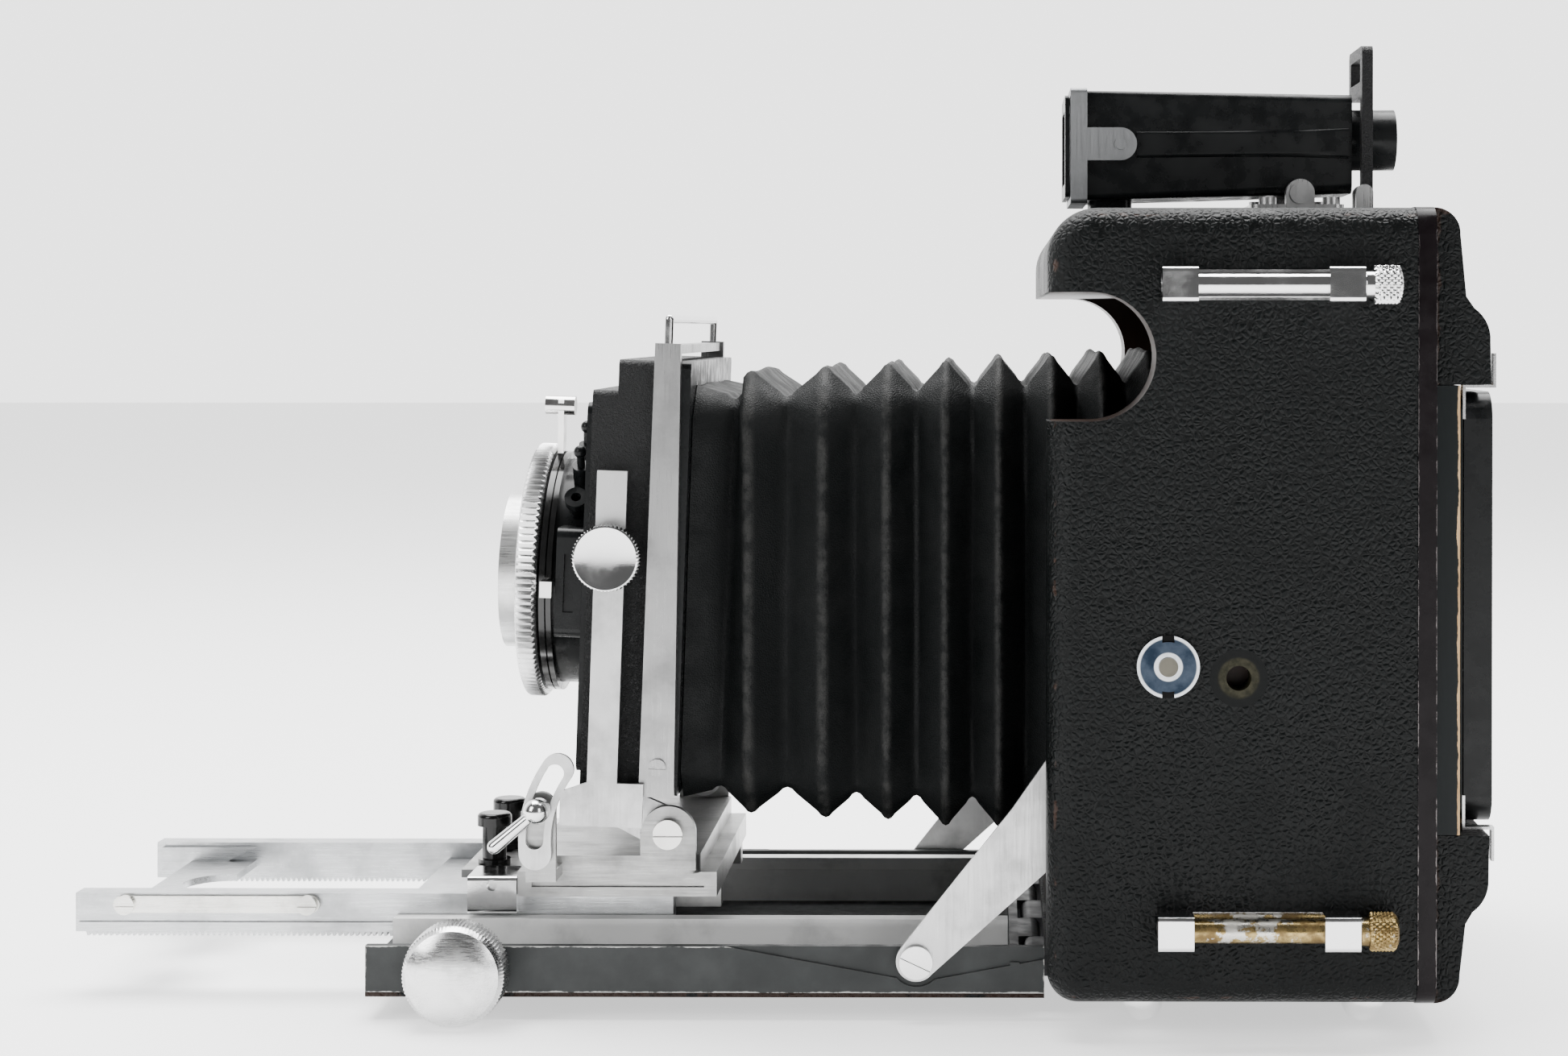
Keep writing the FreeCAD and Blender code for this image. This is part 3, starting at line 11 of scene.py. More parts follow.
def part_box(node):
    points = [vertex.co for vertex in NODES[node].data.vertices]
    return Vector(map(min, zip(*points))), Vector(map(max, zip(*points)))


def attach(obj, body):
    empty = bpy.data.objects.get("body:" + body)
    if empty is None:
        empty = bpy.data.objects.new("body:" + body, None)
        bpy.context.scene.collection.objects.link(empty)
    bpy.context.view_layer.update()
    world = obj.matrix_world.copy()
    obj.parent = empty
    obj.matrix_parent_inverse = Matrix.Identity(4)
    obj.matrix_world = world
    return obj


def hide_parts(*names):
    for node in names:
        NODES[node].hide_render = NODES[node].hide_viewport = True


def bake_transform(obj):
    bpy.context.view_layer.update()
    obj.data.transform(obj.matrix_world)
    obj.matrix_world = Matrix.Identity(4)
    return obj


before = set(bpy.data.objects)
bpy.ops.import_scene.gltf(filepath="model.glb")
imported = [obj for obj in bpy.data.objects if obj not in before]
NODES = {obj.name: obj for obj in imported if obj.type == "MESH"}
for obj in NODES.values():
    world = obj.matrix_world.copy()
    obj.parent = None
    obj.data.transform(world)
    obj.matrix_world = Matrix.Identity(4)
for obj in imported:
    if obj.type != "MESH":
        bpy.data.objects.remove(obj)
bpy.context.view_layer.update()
MM = 0.001
LEAN = math.radians(2.0)                 # how far the front standard is tipped back
LENS_HEIGHT = 102.2                      # in millimetres, before the standard is tipped
REAR_MARGIN = 0.05                       # keeps the leather's rub marks off its back edges
KNURL_STEPS = 4                          # points round each tooth of a knurl

# ------------------------------------------------------------------ shader helper


def set_range(node, low, high, to_low, to_high):
    """Fills in the two ranges of a Map Range node."""
    for label, number in (("From Min", low), ("From Max", high), ("To Min", to_low), ("To Max", to_high)):
        node.inputs[label].default_value = number


class Shader:
    """One Principled material being wired up. Textures are laid out in frame metres."""

    def __init__(self, name, color, roughness, metallic=0.0, **sockets):
        self.material = bpy.data.materials.new(name)
        self.material.use_nodes = True
        self.nodes = self.material.node_tree.nodes
        self.links = self.material.node_tree.links
        self.bsdf = self.nodes["Principled BSDF"]
        self.bsdf.inputs["Base Color"].default_value = (*color, 1.0)
        self.bsdf.inputs["Roughness"].default_value = roughness
        self.bsdf.inputs["Metallic"].default_value = metallic
        for label, value in sockets.items():
            self.bsdf.inputs[label.replace("_", " ")].default_value = value
        self.coords = self.add("ShaderNodeTexCoord").outputs["Object"]

    def add(self, kind, **settings):
        node = self.nodes.new(kind)
        for key, value in settings.items():
            setattr(node, key, value)
        return node

    def put(self, socket, value):
        """Links a socket to another output, or sets its value."""
        if isinstance(value, bpy.types.NodeSocket):
            self.links.new(value, socket)
        elif isinstance(value, tuple) and len(value) == 3 and socket.type == "RGBA":
            socket.default_value = (*value, 1.0)
        else:
            socket.default_value = value

    def calc(self, operation, a, b=0.0):
        """One step of arithmetic on sockets or numbers."""
        node = self.add("ShaderNodeMath", operation=operation)
        for socket, value in zip(node.inputs, (a, b)):
            self.put(socket, value)
        return node.outputs[0]

    def stretched(self, scale, turn=(0, 0, 0)):
        """Coordinates stretched per axis, for grain that runs one way."""
        node = self.add("ShaderNodeMapping")
        node.inputs["Scale"].default_value = scale
        node.inputs["Rotation"].default_value = turn
        self.links.new(self.coords, node.inputs["Vector"])
        return node.outputs[0]

    def noise(self, scale, detail=4.0, roughness=0.55, vector=None, distortion=0.0):
        node = self.add("ShaderNodeTexNoise")
        self.links.new(vector or self.coords, node.inputs["Vector"])
        node.inputs["Scale"].default_value = scale
        node.inputs["Detail"].default_value = detail
        node.inputs["Roughness"].default_value = roughness
        node.inputs["Distortion"].default_value = distortion
        return node.outputs["Fac"]

    def cells(self, scale, warp, warp_scale):
        """Distance to the border of Voronoi cells, the borders bent by noise."""
        node = self.add("ShaderNodeTexVoronoi", feature="DISTANCE_TO_EDGE")
        node.inputs["Scale"].default_value = scale
        push = self.add("ShaderNodeTexNoise")
        push.inputs["Scale"].default_value = warp_scale
        self.links.new(self.coords, push.inputs["Vector"])
        shift = self.add("ShaderNodeVectorMath", operation="MULTIPLY_ADD")
        self.links.new(push.outputs["Color"], shift.inputs[0])
        shift.inputs[1].default_value = (warp, warp, warp)
        self.links.new(self.coords, shift.inputs[2])
        self.links.new(shift.outputs[0], node.inputs["Vector"])
        return node.outputs["Distance"]

    def span(self, value, low, high, to_low=0.0, to_high=1.0):
        """Maps a range of a value smoothly to another range, clamped."""
        node = self.add("ShaderNodeMapRange", interpolation_type="SMOOTHSTEP")
        set_range(node, low, high, to_low, to_high)
        self.put(node.inputs["Value"], value)
        return node.outputs["Result"]

    def blend(self, factor, first, second):
        """Colour mix: the first where the factor is 0, the second where it is 1."""
        node = self.add("ShaderNodeMix", data_type="RGBA")
        self.put(node.inputs["Factor"], factor)
        self.put(node.inputs[6], first)
        self.put(node.inputs[7], second)
        return node.outputs[2]

    def axis(self, index):
        node = self.add("ShaderNodeSeparateXYZ")
        self.links.new(self.coords, node.inputs[0])
        return node.outputs[index]

    def color(self, value):
        self.put(self.bsdf.inputs["Base Color"], value)

    def rough(self, value):
        self.put(self.bsdf.inputs["Roughness"], value)

    def metal(self, value):
        self.put(self.bsdf.inputs["Metallic"], value)

    def bump(self, height, distance, strength):
        """Adds one layer of relief over any that is there; distance is its depth in metres."""
        node = self.add("ShaderNodeBump")
        node.inputs["Strength"].default_value = strength
        node.inputs["Distance"].default_value = distance
        self.put(node.inputs["Height"], height)
        socket = self.bsdf.inputs["Normal"]
        if socket.is_linked:
            self.links.new(socket.links[0].from_socket, node.inputs["Normal"])
        self.links.new(node.outputs[0], socket)

    def edge_of_box(self, low, high):
        """Distance in metres from the nearest edge of an upright box, for a point on its surface."""
        split = self.add("ShaderNodeSeparateXYZ")
        self.links.new(self.coords, split.inputs[0])
        near = []
        for index in range(3):
            to_low = self.calc("ABSOLUTE", self.calc("SUBTRACT", split.outputs[index], low[index]))
            to_high = self.calc("ABSOLUTE", self.calc("SUBTRACT", split.outputs[index], high[index]))
            near.append(self.calc("MINIMUM", to_low, to_high))
        total = self.calc("ADD", self.calc("ADD", near[0], near[1]), near[2])
        largest = self.calc("MAXIMUM", self.calc("MAXIMUM", near[0], near[1]), near[2])
        smallest = self.calc("MINIMUM", self.calc("MINIMUM", near[0], near[1]), near[2])
        return self.calc("SUBTRACT", self.calc("SUBTRACT", total, largest), smallest)

    def wear(self, distance, reach, patchy_scale, amount):
        """A broken mask that is 1 on the most rubbed spots near an edge."""
        close = self.span(distance, 0.0, reach, 1.0, 0.0)
        patch = self.noise(patchy_scale, 5.0, 0.65)
        both = self.calc("ADD", self.calc("MULTIPLY", close, 0.55), patch)
        return self.span(both, 1.02 - amount, 1.12 - amount)


def place_object(name, data):
    """Puts an object made of mesh, lamp or camera data in the scene."""
    placed = bpy.data.objects.new(name, data)
    bpy.context.scene.collection.objects.link(placed)
    return placed


def dress(names, shader):
    """Gives CAD nodes a material in place of their plain one."""
    for name in names:
        for slot in NODES[name].material_slots:
            slot.material = shader.material


def crisp(names, width, angle=35.0):
    """Smooth shading with sharp creases kept, and a small rounded edge on the hard corners."""
    for name in names:
        piece = NODES[name]
        mesh = piece.data
        mesh.shade_smooth()
        mesh.set_sharp_from_angle(angle=math.radians(angle))
        bevel = piece.modifiers.new("edge", "BEVEL")
        bevel.width = width
        bevel.segments = 2
        bevel.limit_method = "ANGLE"
        bevel.angle_limit = math.radians(50.0)
        bevel.harden_normals = False
        bevel.use_clamp_overlap = True


# ------------------------------------------------------------------ materials


def leather(name, node, edge_reach, brown):
    """Black pebbled leather, rubbed brown and smooth along its edges."""
    shader = Shader(name, (0.010, 0.011, 0.011), 0.42, Specular_IOR_Level=0.13)
    pebble = shader.cells(620.0, warp=0.0013, warp_scale=520.0)
    grain = shader.span(pebble, 0.0, 0.34)
    crease = shader.cells(150.0, warp=0.006, warp_scale=90.0)
    fold = shader.span(crease, 0.0, 0.12)
    fine = shader.noise(2600.0, 3.0)
    shader.bump(grain, 0.00026, 0.70)
    shader.bump(fold, 0.0002, 0.16)
    shader.bump(fine, 0.00004, 0.5)
    low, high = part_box(node)
    open_ended = (high[0] + REAR_MARGIN, high[1], high[2])
    rubbed = shader.wear(shader.edge_of_box(low, open_ended), edge_reach, 130.0, 0.10)
    mottled = shader.span(shader.noise(38.0, 6.0, 0.6), 0.35, 0.7)
    base = shader.blend(mottled, (0.0015, 0.0023, 0.0024), (0.0030, 0.0040, 0.0041))
    pits = shader.blend(grain, (0.0018, 0.0022, 0.0022), base)
    shader.color(shader.blend(shader.calc("MULTIPLY", rubbed, brown), pits, (0.034, 0.019, 0.014)))
    shine = shader.span(shader.noise(60.0, 4.0), 0.3, 0.7, 0.32, 0.47)
    shader.rough(shader.calc("SUBTRACT", shine, shader.calc("MULTIPLY", rubbed, 0.08)))
    return shader


def chrome(name, tint=(0.80, 0.80, 0.80), roughness=0.07, pitted=0.35):
    """Old nickel-chrome plate: hairline scratches, haze and a few pits."""
    shader = Shader(name, tint, roughness, 1.0)
    haze = shader.span(shader.noise(120.0, 5.0, 0.6), 0.35, 0.75, roughness, roughness + 0.13)
    hair = shader.noise(900.0, 2.0, 0.5, shader.stretched((1.0, 1.0, 14.0), (0.5, 0.3, 0.2)))
    pits = shader.span(shader.noise(1500.0, 2.0), 0.72, 0.78)
    stain = shader.calc("MULTIPLY", pits, pitted)
    shader.color(shader.blend(stain, tint, (0.20, 0.17, 0.13)))
    shader.rough(shader.calc("ADD", haze, shader.calc("MULTIPLY", stain, 0.4)))
    shader.bump(hair, 0.00001, 0.35)
    return shader


def brushed(name, direction, color=(0.66, 0.66, 0.655), roughness=0.30, metal=1.0):
    """Satin aluminium drawn out along one axis, with scratches and dull handling marks."""
    stretch = [60.0, 60.0, 60.0]
    stretch[direction] = 1.6
    shader = Shader(name, color, roughness, metal)
    lines = shader.noise(46.0, 6.0, 0.7, shader.stretched(tuple(stretch)))
    marks = shader.noise(55.0, 6.0, 0.62)
    scratch = shader.noise(240.0, 3.0, 0.6, shader.stretched((1.0, 0.6, 18.0), (0.1, 0.75, 0.35)))
    dull = shader.span(marks, 0.42, 0.75)
    shader.color(shader.blend(dull, color, tuple(0.66 * c for c in color)))
    shine = shader.span(lines, 0.3, 0.7, roughness - 0.07, roughness + 0.12)
    shader.rough(shader.calc("ADD", shine, shader.calc("MULTIPLY", dull, 0.12)))
    shader.bump(lines, 0.000018, 0.5)
    shader.bump(shader.span(scratch, 0.66, 0.74), -0.00002, 0.4)
    return shader


def brass(name):
    """Brass showing through worn plate, brown in the hollows."""
    color = (0.42, 0.31, 0.13)
    shader = Shader(name, color, 0.32, 1.0)
    patch = shader.span(shader.noise(210.0, 6.0, 0.65), 0.38, 0.62)
    plate = shader.span(shader.noise(95.0, 5.0, 0.7), 0.56, 0.60)
    worn = shader.blend(patch, color, (0.17, 0.115, 0.05))
    shader.color(shader.blend(plate, worn, (0.62, 0.60, 0.55)))
    shader.rough(shader.span(patch, 0.0, 1.0, 0.24, 0.46))
    shader.bump(shader.noise(1400.0, 4.0), 0.00002, 0.5)
    return shader


def crinkle(name, color=(0.0045, 0.0048, 0.0050)):
    """Wrinkle-finish black lacquer: a fine, hard, closed skin with bright specks."""
    shader = Shader(name, color, 0.46, Specular_IOR_Level=0.25)
    skin = shader.noise(1500.0, 3.0, 0.5, distortion=1.2)
    ridge = shader.span(skin, 0.38, 0.62)
    speck = shader.span(shader.noise(3200.0, 1.0), 0.74, 0.80)
    shader.bump(ridge, 0.00022, 0.8)
    dust = shader.span(shader.noise(70.0, 6.0, 0.7), 0.5, 0.85)
    tone = shader.blend(dust, color, (0.011, 0.011, 0.011))
    shader.color(shader.blend(shader.calc("MULTIPLY", speck, 0.5), tone, (0.10, 0.10, 0.105)))
    shader.rough(shader.span(skin, 0.3, 0.7, 0.36, 0.58))
    return shader


def enamel(name, color, roughness, worn=None, coat=0.0, gloss=0.18):
    """Thin paint on metal. worn is (node, bare colour, share, reach) where corners are rubbed through."""
    shader = Shader(name, color, roughness, Coat_Weight=coat, Coat_Roughness=0.12, Specular_IOR_Level=gloss)
    cloud = shader.span(shader.noise(75.0, 5.0, 0.6), 0.3, 0.75)
    tone = shader.blend(cloud, color, tuple(1.5 * c + 0.0006 for c in color))
    shader.rough(shader.span(shader.noise(160.0, 5.0), 0.3, 0.7, roughness - 0.06, roughness + 0.12))
    shader.bump(shader.noise(700.0, 3.0), 0.00003, 0.5)
    if worn:
        node, bare, chips, reach = worn
        chipped = shader.wear(shader.edge_of_box(*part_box(node)), reach, 260.0, chips)
        tone = shader.blend(chipped, tone, bare)
        shader.metal(chipped)
        shader.bump(shader.calc("SUBTRACT", 1.0, chipped), 0.00004, 0.6)
    shader.color(tone)
    return shader


def wood(name, node, chips, paint=(0.0035, 0.0046, 0.0048), rear_only=False):
    """Black-lacquered cherry, worn back to pale raw wood at its corners."""
    shader = Shader(name, paint, 0.38, Specular_IOR_Level=0.12)
    grain = shader.noise(60.0, 8.0, 0.65, shader.stretched((8.0, 8.0, 0.7)), 0.6)
    raw = shader.blend(shader.span(grain, 0.35, 0.65), (0.36, 0.22, 0.11), (0.55, 0.38, 0.21))
    low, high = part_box(node)
    if rear_only:
        edge = shader.calc("ABSOLUTE", shader.calc("SUBTRACT", shader.axis(0), high[0]))
    else:
        edge = shader.edge_of_box(low, high)
    chipped = shader.wear(edge, 0.0016, 130.0, chips)
    shader.color(shader.blend(chipped, shader.blend(grain, paint, tuple(2.2 * c for c in paint)), raw))
    shader.rough(shader.calc("ADD", 0.34, shader.calc("MULTIPLY", chipped, 0.3)))
    shader.bump(grain, 0.00006, 0.45)
    shader.bump(shader.calc("SUBTRACT", 1.0, chipped), 0.00012, 0.7)
    return shader


def pleat_cloth():
    """Leather-cloth of the bellows, grey on the crests: partly rubbed wear, partly a painted highlight
    along the crest lines.
    """
    shader = Shader("bellows_leathercloth", (0.004, 0.005, 0.005), 0.6, Specular_IOR_Level=0.15)
    crest = shader.add("ShaderNodeAttribute", attribute_name="crest").outputs["Fac"]
    grain = shader.cells(1500.0, warp=0.0004, warp_scale=900.0)
    rubbed = shader.span(shader.noise(240.0, 6.0, 0.7), 0.36, 0.62)
    # Grey on the crests is partly rubbed wear and partly a painted highlight along the crest lines.
    scuff_and_highlight = shader.calc("MULTIPLY", shader.span(crest, 0.80, 1.0), rubbed)
    dust = shader.span(shader.noise(45.0, 6.0, 0.65), 0.45, 0.8)
    cloth = shader.blend(dust, (0.0022, 0.0028, 0.0029), (0.0046, 0.0050, 0.0050))
    shader.color(shader.blend(shader.calc("MULTIPLY", scuff_and_highlight, 0.7), cloth, (0.024, 0.024, 0.023)))
    shader.rough(shader.span(shader.noise(130.0, 4.0), 0.3, 0.7, 0.46, 0.66))
    shader.bump(shader.span(grain, 0.0, 0.3), 0.00010, 0.6)
    shader.bump(shader.noise(170.0, 5.0, 0.6), 0.00045, 0.35)
    return shader


def shutter_lever(name):
    """Bright lever arms on a blackened hub ring that turns round the lens axis."""
    shader = Shader(name, (0.75, 0.75, 0.75), 0.12, 1.0)
    centre = leaned(-189.0, 0, LENS_HEIGHT)
    across = shader.calc("POWER", shader.calc("ABSOLUTE", shader.axis(1)), 2.0)
    above = shader.calc("ABSOLUTE", shader.calc("SUBTRACT", shader.axis(2), centre.z))
    radius = shader.calc("SQRT", shader.calc("ADD", across, shader.calc("POWER", above, 2.0)))
    arm = shader.span(radius, 0.0345, 0.0348)
    shader.color(shader.blend(arm, (0.005, 0.005, 0.005), (0.75, 0.74, 0.73)))
    shader.metal(arm)
    shader.rough(shader.span(shader.noise(200.0, 4.0), 0.3, 0.7, 0.10, 0.24))
    return shader


def from_point(shader, x, z):
    """Distances from a point in the side view: along X, and straight across."""
    across = shader.calc("ABSOLUTE", shader.calc("SUBTRACT", shader.axis(0), x))
    up = shader.calc("ABSOLUTE", shader.calc("SUBTRACT", shader.axis(2), z))
    squares = [shader.calc("MULTIPLY", side, side) for side in (across, up)]
    return across, shader.calc("SQRT", shader.calc("ADD", *squares))


def guide_disc(name):
    """Chrome disc with painted highlights on its rim and collar, its face painted dark blue as a painted
    reflection, a dull pin end, and painted shade in its two wrench notches.
    """
    shader = Shader(name, (0.2, 0.22, 0.25), 0.12, 1.0, Specular_IOR_Level=0.05)
    across, radius = from_point(shader, -18.0 * MM, 87.0 * MM)
    cloud = shader.span(shader.noise(170.0, 5.0, 0.6), 0.35, 0.7)
    # Dark blue face: a painted reflection. The bright bands at the rim and the collar below are painted
    # highlights.
    tone = shader.blend(cloud, (0.010, 0.016, 0.026), (0.042, 0.055, 0.075))
    tone = shader.blend(shader.span(radius, 0.0070, 0.0074), tone, (0.50, 0.52, 0.54))
    tone = shader.blend(shader.span(radius, 0.0035, 0.0038, 1.0, 0.0), tone, (0.46, 0.48, 0.50))
    tone = shader.blend(shader.span(radius, 0.0024, 0.0026, 1.0, 0.0), tone, (0.09, 0.085, 0.07))
    # The wrench notches are painted black and not metallic: painted shade in the slots.
    notch_shade = shader.calc("MULTIPLY", shader.span(across, 0.0015, 0.0016, 1.0, 0.0),
                        shader.span(radius, 0.0063, 0.0064))
    shader.color(shader.blend(notch_shade, tone, (0.003, 0.003, 0.003)))
    shader.metal(shader.calc("SUBTRACT", 1.0, notch_shade))
    shader.rough(shader.span(cloud, 0.0, 1.0, 0.10, 0.24))
    return shader


def grimy_bush(name):
    """Brass tripod bush, dull green at its mouth and blackened round it."""
    shader = Shader(name, (0.02, 0.02, 0.01), 0.5, Specular_IOR_Level=0.13)
    radius = from_point(shader, 0.0, 84.0 * MM)[1]
    patch = shader.span(shader.noise(420.0, 5.0, 0.6), 0.35, 0.65)
    ring = shader.blend(patch, (0.009, 0.009, 0.004), (0.028, 0.026, 0.015))
    shader.color(shader.blend(shader.span(radius, 0.0047, 0.0056), ring, (0.0015, 0.0020, 0.0020)))
    shader.bump(shader.noise(700.0, 4.0), 0.0001, 0.5)
    return shader


def optical_glass(name, tint, roughness=0.0):
    shader = Shader(name, tint, roughness, Transmission_Weight=1.0, IOR=1.52,
                    Coat_Weight=0.6, Coat_Roughness=0.02)
    shader.rough(shader.span(shader.noise(300.0, 3.0), 0.4, 0.8, roughness, roughness + 0.03))
    return shader


def material_library():
    """One wired material for each finish on the camera."""
    hide = leather("leather_body", "leather_cover", 0.006, 0.85)
    caps = leather("leather_caps", "back_caps", 0.004, 0.55)
    cover = leather("leather_bed", "bed_cover", 0.003, 0.6)
    plate = chrome("chrome_plate")
    dull_plate = chrome("chrome_worn", (0.70, 0.69, 0.67), 0.16, 0.6)
    along = brushed("satin_along", 0)
    upright = brushed("satin_upright", 2, (0.60, 0.60, 0.60), 0.34)
    dress(["leather_cover"], hide)
    dress(["back_caps"], caps)
    dress(["bed_cover"], cover)
    dress(["wood_box"], wood("wood_inside", "wood_box", 0.2, (0.020, 0.011, 0.008)))
    dress(["back_frame", "bellows_rear_frame"], wood("wood_back", "back_frame", 0.22, rear_only=True))
    dress(["spring_back_frame"], wood("wood_carrier", "spring_back_frame", 0.0))
    trim_wear = ("trim_frame", (0.10, 0.09, 0.09), 0.05, 0.0008)
    dress(["trim_frame"], enamel("trim_plum", (0.0045, 0.0033, 0.0038), 0.20, trim_wear, gloss=0.10))
    dress(["feet", "upper_clip_pin", "hood_latch_button", "strut_screws",
           "near_infinity_stop", "far_infinity_stop", "near_tilt_lever", "wire_finder",
           "release_lever", "clip_brackets", "near_rise_knob", "far_rise_knob"], plate)
    dress(["focus_knobs"], brushed("satin_knob", 2, (0.74, 0.74, 0.74), 0.2))
    dress(["tilt_screws"], dull_plate)
    dress(["strut_guide_pins"], guide_disc("disc_plate"))
    dress(["finder_mounts"], brushed("mount_plate", 2, (0.46, 0.46, 0.46), 0.28))
    dress(["finder_channels"], brushed("channel_plate", 2, (0.34, 0.34, 0.34), 0.30))
    dress(["carriage"], brushed("satin_carriage", 0, (0.38, 0.38, 0.375), 0.32))
    dress(["focus_rails", "rail_braces"], brushed("satin_rail", 0, (0.55, 0.56, 0.57), 0.28))
    # The tracks are near-white and almost non-metallic: a painted reflection standing in for the bright
    # strip their faces mirror.
    dress(["fixed_tracks"], brushed("track_painted_reflection", 0, (0.95, 0.95, 0.94), 0.35, 0.1))
    dress(["cocking_lever", "aperture_lever"], shutter_lever("lever_chrome"))
    dress(["speed_ring", "lens_barrel"], along)
    dress(["rail_guide_strip"], brushed("ivory_strip", 0, (0.80, 0.79, 0.75), 0.24))
    dress(["standard_uprights", "near_strut", "far_strut"], upright)
    dress(["finder_front_plate"], brushed("finder_grey", 2, (0.26, 0.265, 0.27), 0.38))
    dress(["lower_clip_pin"], brass("brass_worn"))
    dress(["tripod_bushes"], grimy_bush("bush_grimy"))
    bed_wear = ("bed_tray", (0.32, 0.32, 0.31), 0.10, 0.0010)
    dress(["bed_tray"], enamel("bed_paint", (0.026, 0.028, 0.028), 0.36, bed_wear))
    dress(["lens_box"], crinkle("crinkle_standard"))
    spool = enamel("spool_black", (0.004, 0.004, 0.004), 0.10, coat=0.25)
    dress(["near_pinch_knob", "far_pinch_knob"], spool)
    dress(["finder_tube", "finder_mask", "focusing_hood", "lens_board", "standard_rear_plate",
           "shutter_body", "shutter_fittings"], enamel("satin_black", (0.0035, 0.0040, 0.0042), 0.26))
    dress(["peep_sight"], crinkle("sight_black", (0.006, 0.006, 0.0065)))
    dress(["finder_glass", "lens_glass"], optical_glass("coated_glass", (0.93, 0.96, 1.0)))
    dress(["ground_glass"], optical_glass("frosted_glass", (0.90, 0.93, 0.92), 0.45))
    dress(["back_leaf_springs", "pinion_shaft"], brushed("spring_steel", 1, (0.5, 0.5, 0.5), 0.22))
    dress(["bed_hinge", "iris_blades"], enamel("dark_iron", (0.030, 0.030, 0.032), 0.34))


# ------------------------------------------------------------------ bellows

BELLOWS_FRONT = -147.3 * MM
BELLOWS_REAR = 30.8 * MM
TILT_PIVOT = Vector((-150.4 * MM, 0, 36.2 * MM))
FIRST_VALLEY = -136.8 * MM
# x of every crest: the folds close up towards the back
CRESTS = (-0.1285, -0.1081, -0.0910, -0.0753, -0.0609, -0.0467, -0.0332, -0.0204, -0.0082, 0.0034,
          0.0145, 0.0247)
FRONT_SIZE = (0.0545, 0.0420, 0.1605)    # half width, lowest and highest point of the crests
REAR_SIZE = (0.0640, 0.0325, 0.1700)
PLEAT_DEPTH = (0.0072, 0.0094)           # at the front and at the rear
CORNER_CUT = (0.0025, 0.0130)            # across the corners, in a valley and on a crest
SAG = 0.0009
WOBBLE = 0.00035
LONG_SIDE = 0.03                         # sides longer than this are divided finely and sag
CREST_ROUNDING = ((0.24, 0.77), (0.12, 0.94))
VALLEY_ROUNDING = ((0.24, 0.23), (0.12, 0.06))
BED_BREAK = -0.010                       # the last length starts at the valley nearest to this x
MID_HEIGHT = 0.1
TINY = 1e-6


def pleat_places():
    """(x, height) of every fold from the front: height 1 on a crest, 0 in a valley."""
    places = [(BELLOWS_FRONT, 0.6), (FIRST_VALLEY, 0.0)]
    for crest, after in zip(CRESTS, CRESTS[1:]):
        places += [(crest, 1.0), (0.5 * (crest + after), 0.0)]
    return places + [(CRESTS[-1], 1.0), (BELLOWS_REAR, 0.2)]


def fold_ring(x, height, lean):
    """One closed ring of the pleated tube, its corners cut off most on the crests."""
    share = (x - BELLOWS_FRONT) / (BELLOWS_REAR - BELLOWS_FRONT)
    half, low, high = [a + (b - a) * share for a, b in zip(FRONT_SIZE, REAR_SIZE)]
    sink = (PLEAT_DEPTH[0] + (PLEAT_DEPTH[1] - PLEAT_DEPTH[0]) * share) * (1.0 - height)
    half, low, high = half - sink, low + sink, high - sink
    cut = CORNER_CUT[0] + (CORNER_CUT[1] - CORNER_CUT[0]) * height
    corners = [(half, low + cut), (half, high - cut), (half - cut, high), (cut - half, high),
               (-half, high - cut), (-half, low + cut), (cut - half, low), (half - cut, low)]
    points = []
    for here, after in zip(corners, corners[1:] + corners[:1]):
        gap = math.dist(here, after)
        long_side = gap > LONG_SIDE
        steps = 10 if long_side else 2
        for step in range(steps):
            t = step / steps
            y = here[0] + (after[0] - here[0]) * t
            z = here[1] + (after[1] - here[1]) * t
            sag = SAG * math.sin(math.pi * t) if long_side else 0.0
            wobble = WOBBLE * math.sin(91.0 * y + 57.0 * z + 240.0 * x)
            inward = sag * (1.0 - height) + wobble
            y -= math.copysign(inward, y) if abs(here[0] - after[0]) < TINY else 0.0
            z += inward * (1.0 if z < MID_HEIGHT else -1.0) if abs(here[1] - after[1]) < TINY else 0.0
            points.append(Vector((x + (z - TILT_PIVOT.z) * math.tan(lean), y, z)))
    return points


def stations():
    """Every ring of the bellows, with rounded crests and valleys: (x, height, lean)."""
    places = pleat_places()
    rings = []
    for index, (x, height) in enumerate(places):
        lean = LEAN if x <= FIRST_VALLEY + TINY else 0.0
        if 0 < index < len(places) - 1:
            before, after = places[index - 1][0], places[index + 1][0]
            high = height > 0.5
            rounding = CREST_ROUNDING if high else VALLEY_ROUNDING
            for bite, level in rounding:
                rings.append((x + (before - x) * bite, level, lean))
            rings.append((x, 1.0 if high else 0.0, lean))
            for bite, level in reversed(rounding):
                rings.append((x + (after - x) * bite, level, lean))
        else:
            rings.append((x, height, lean))
    return rings


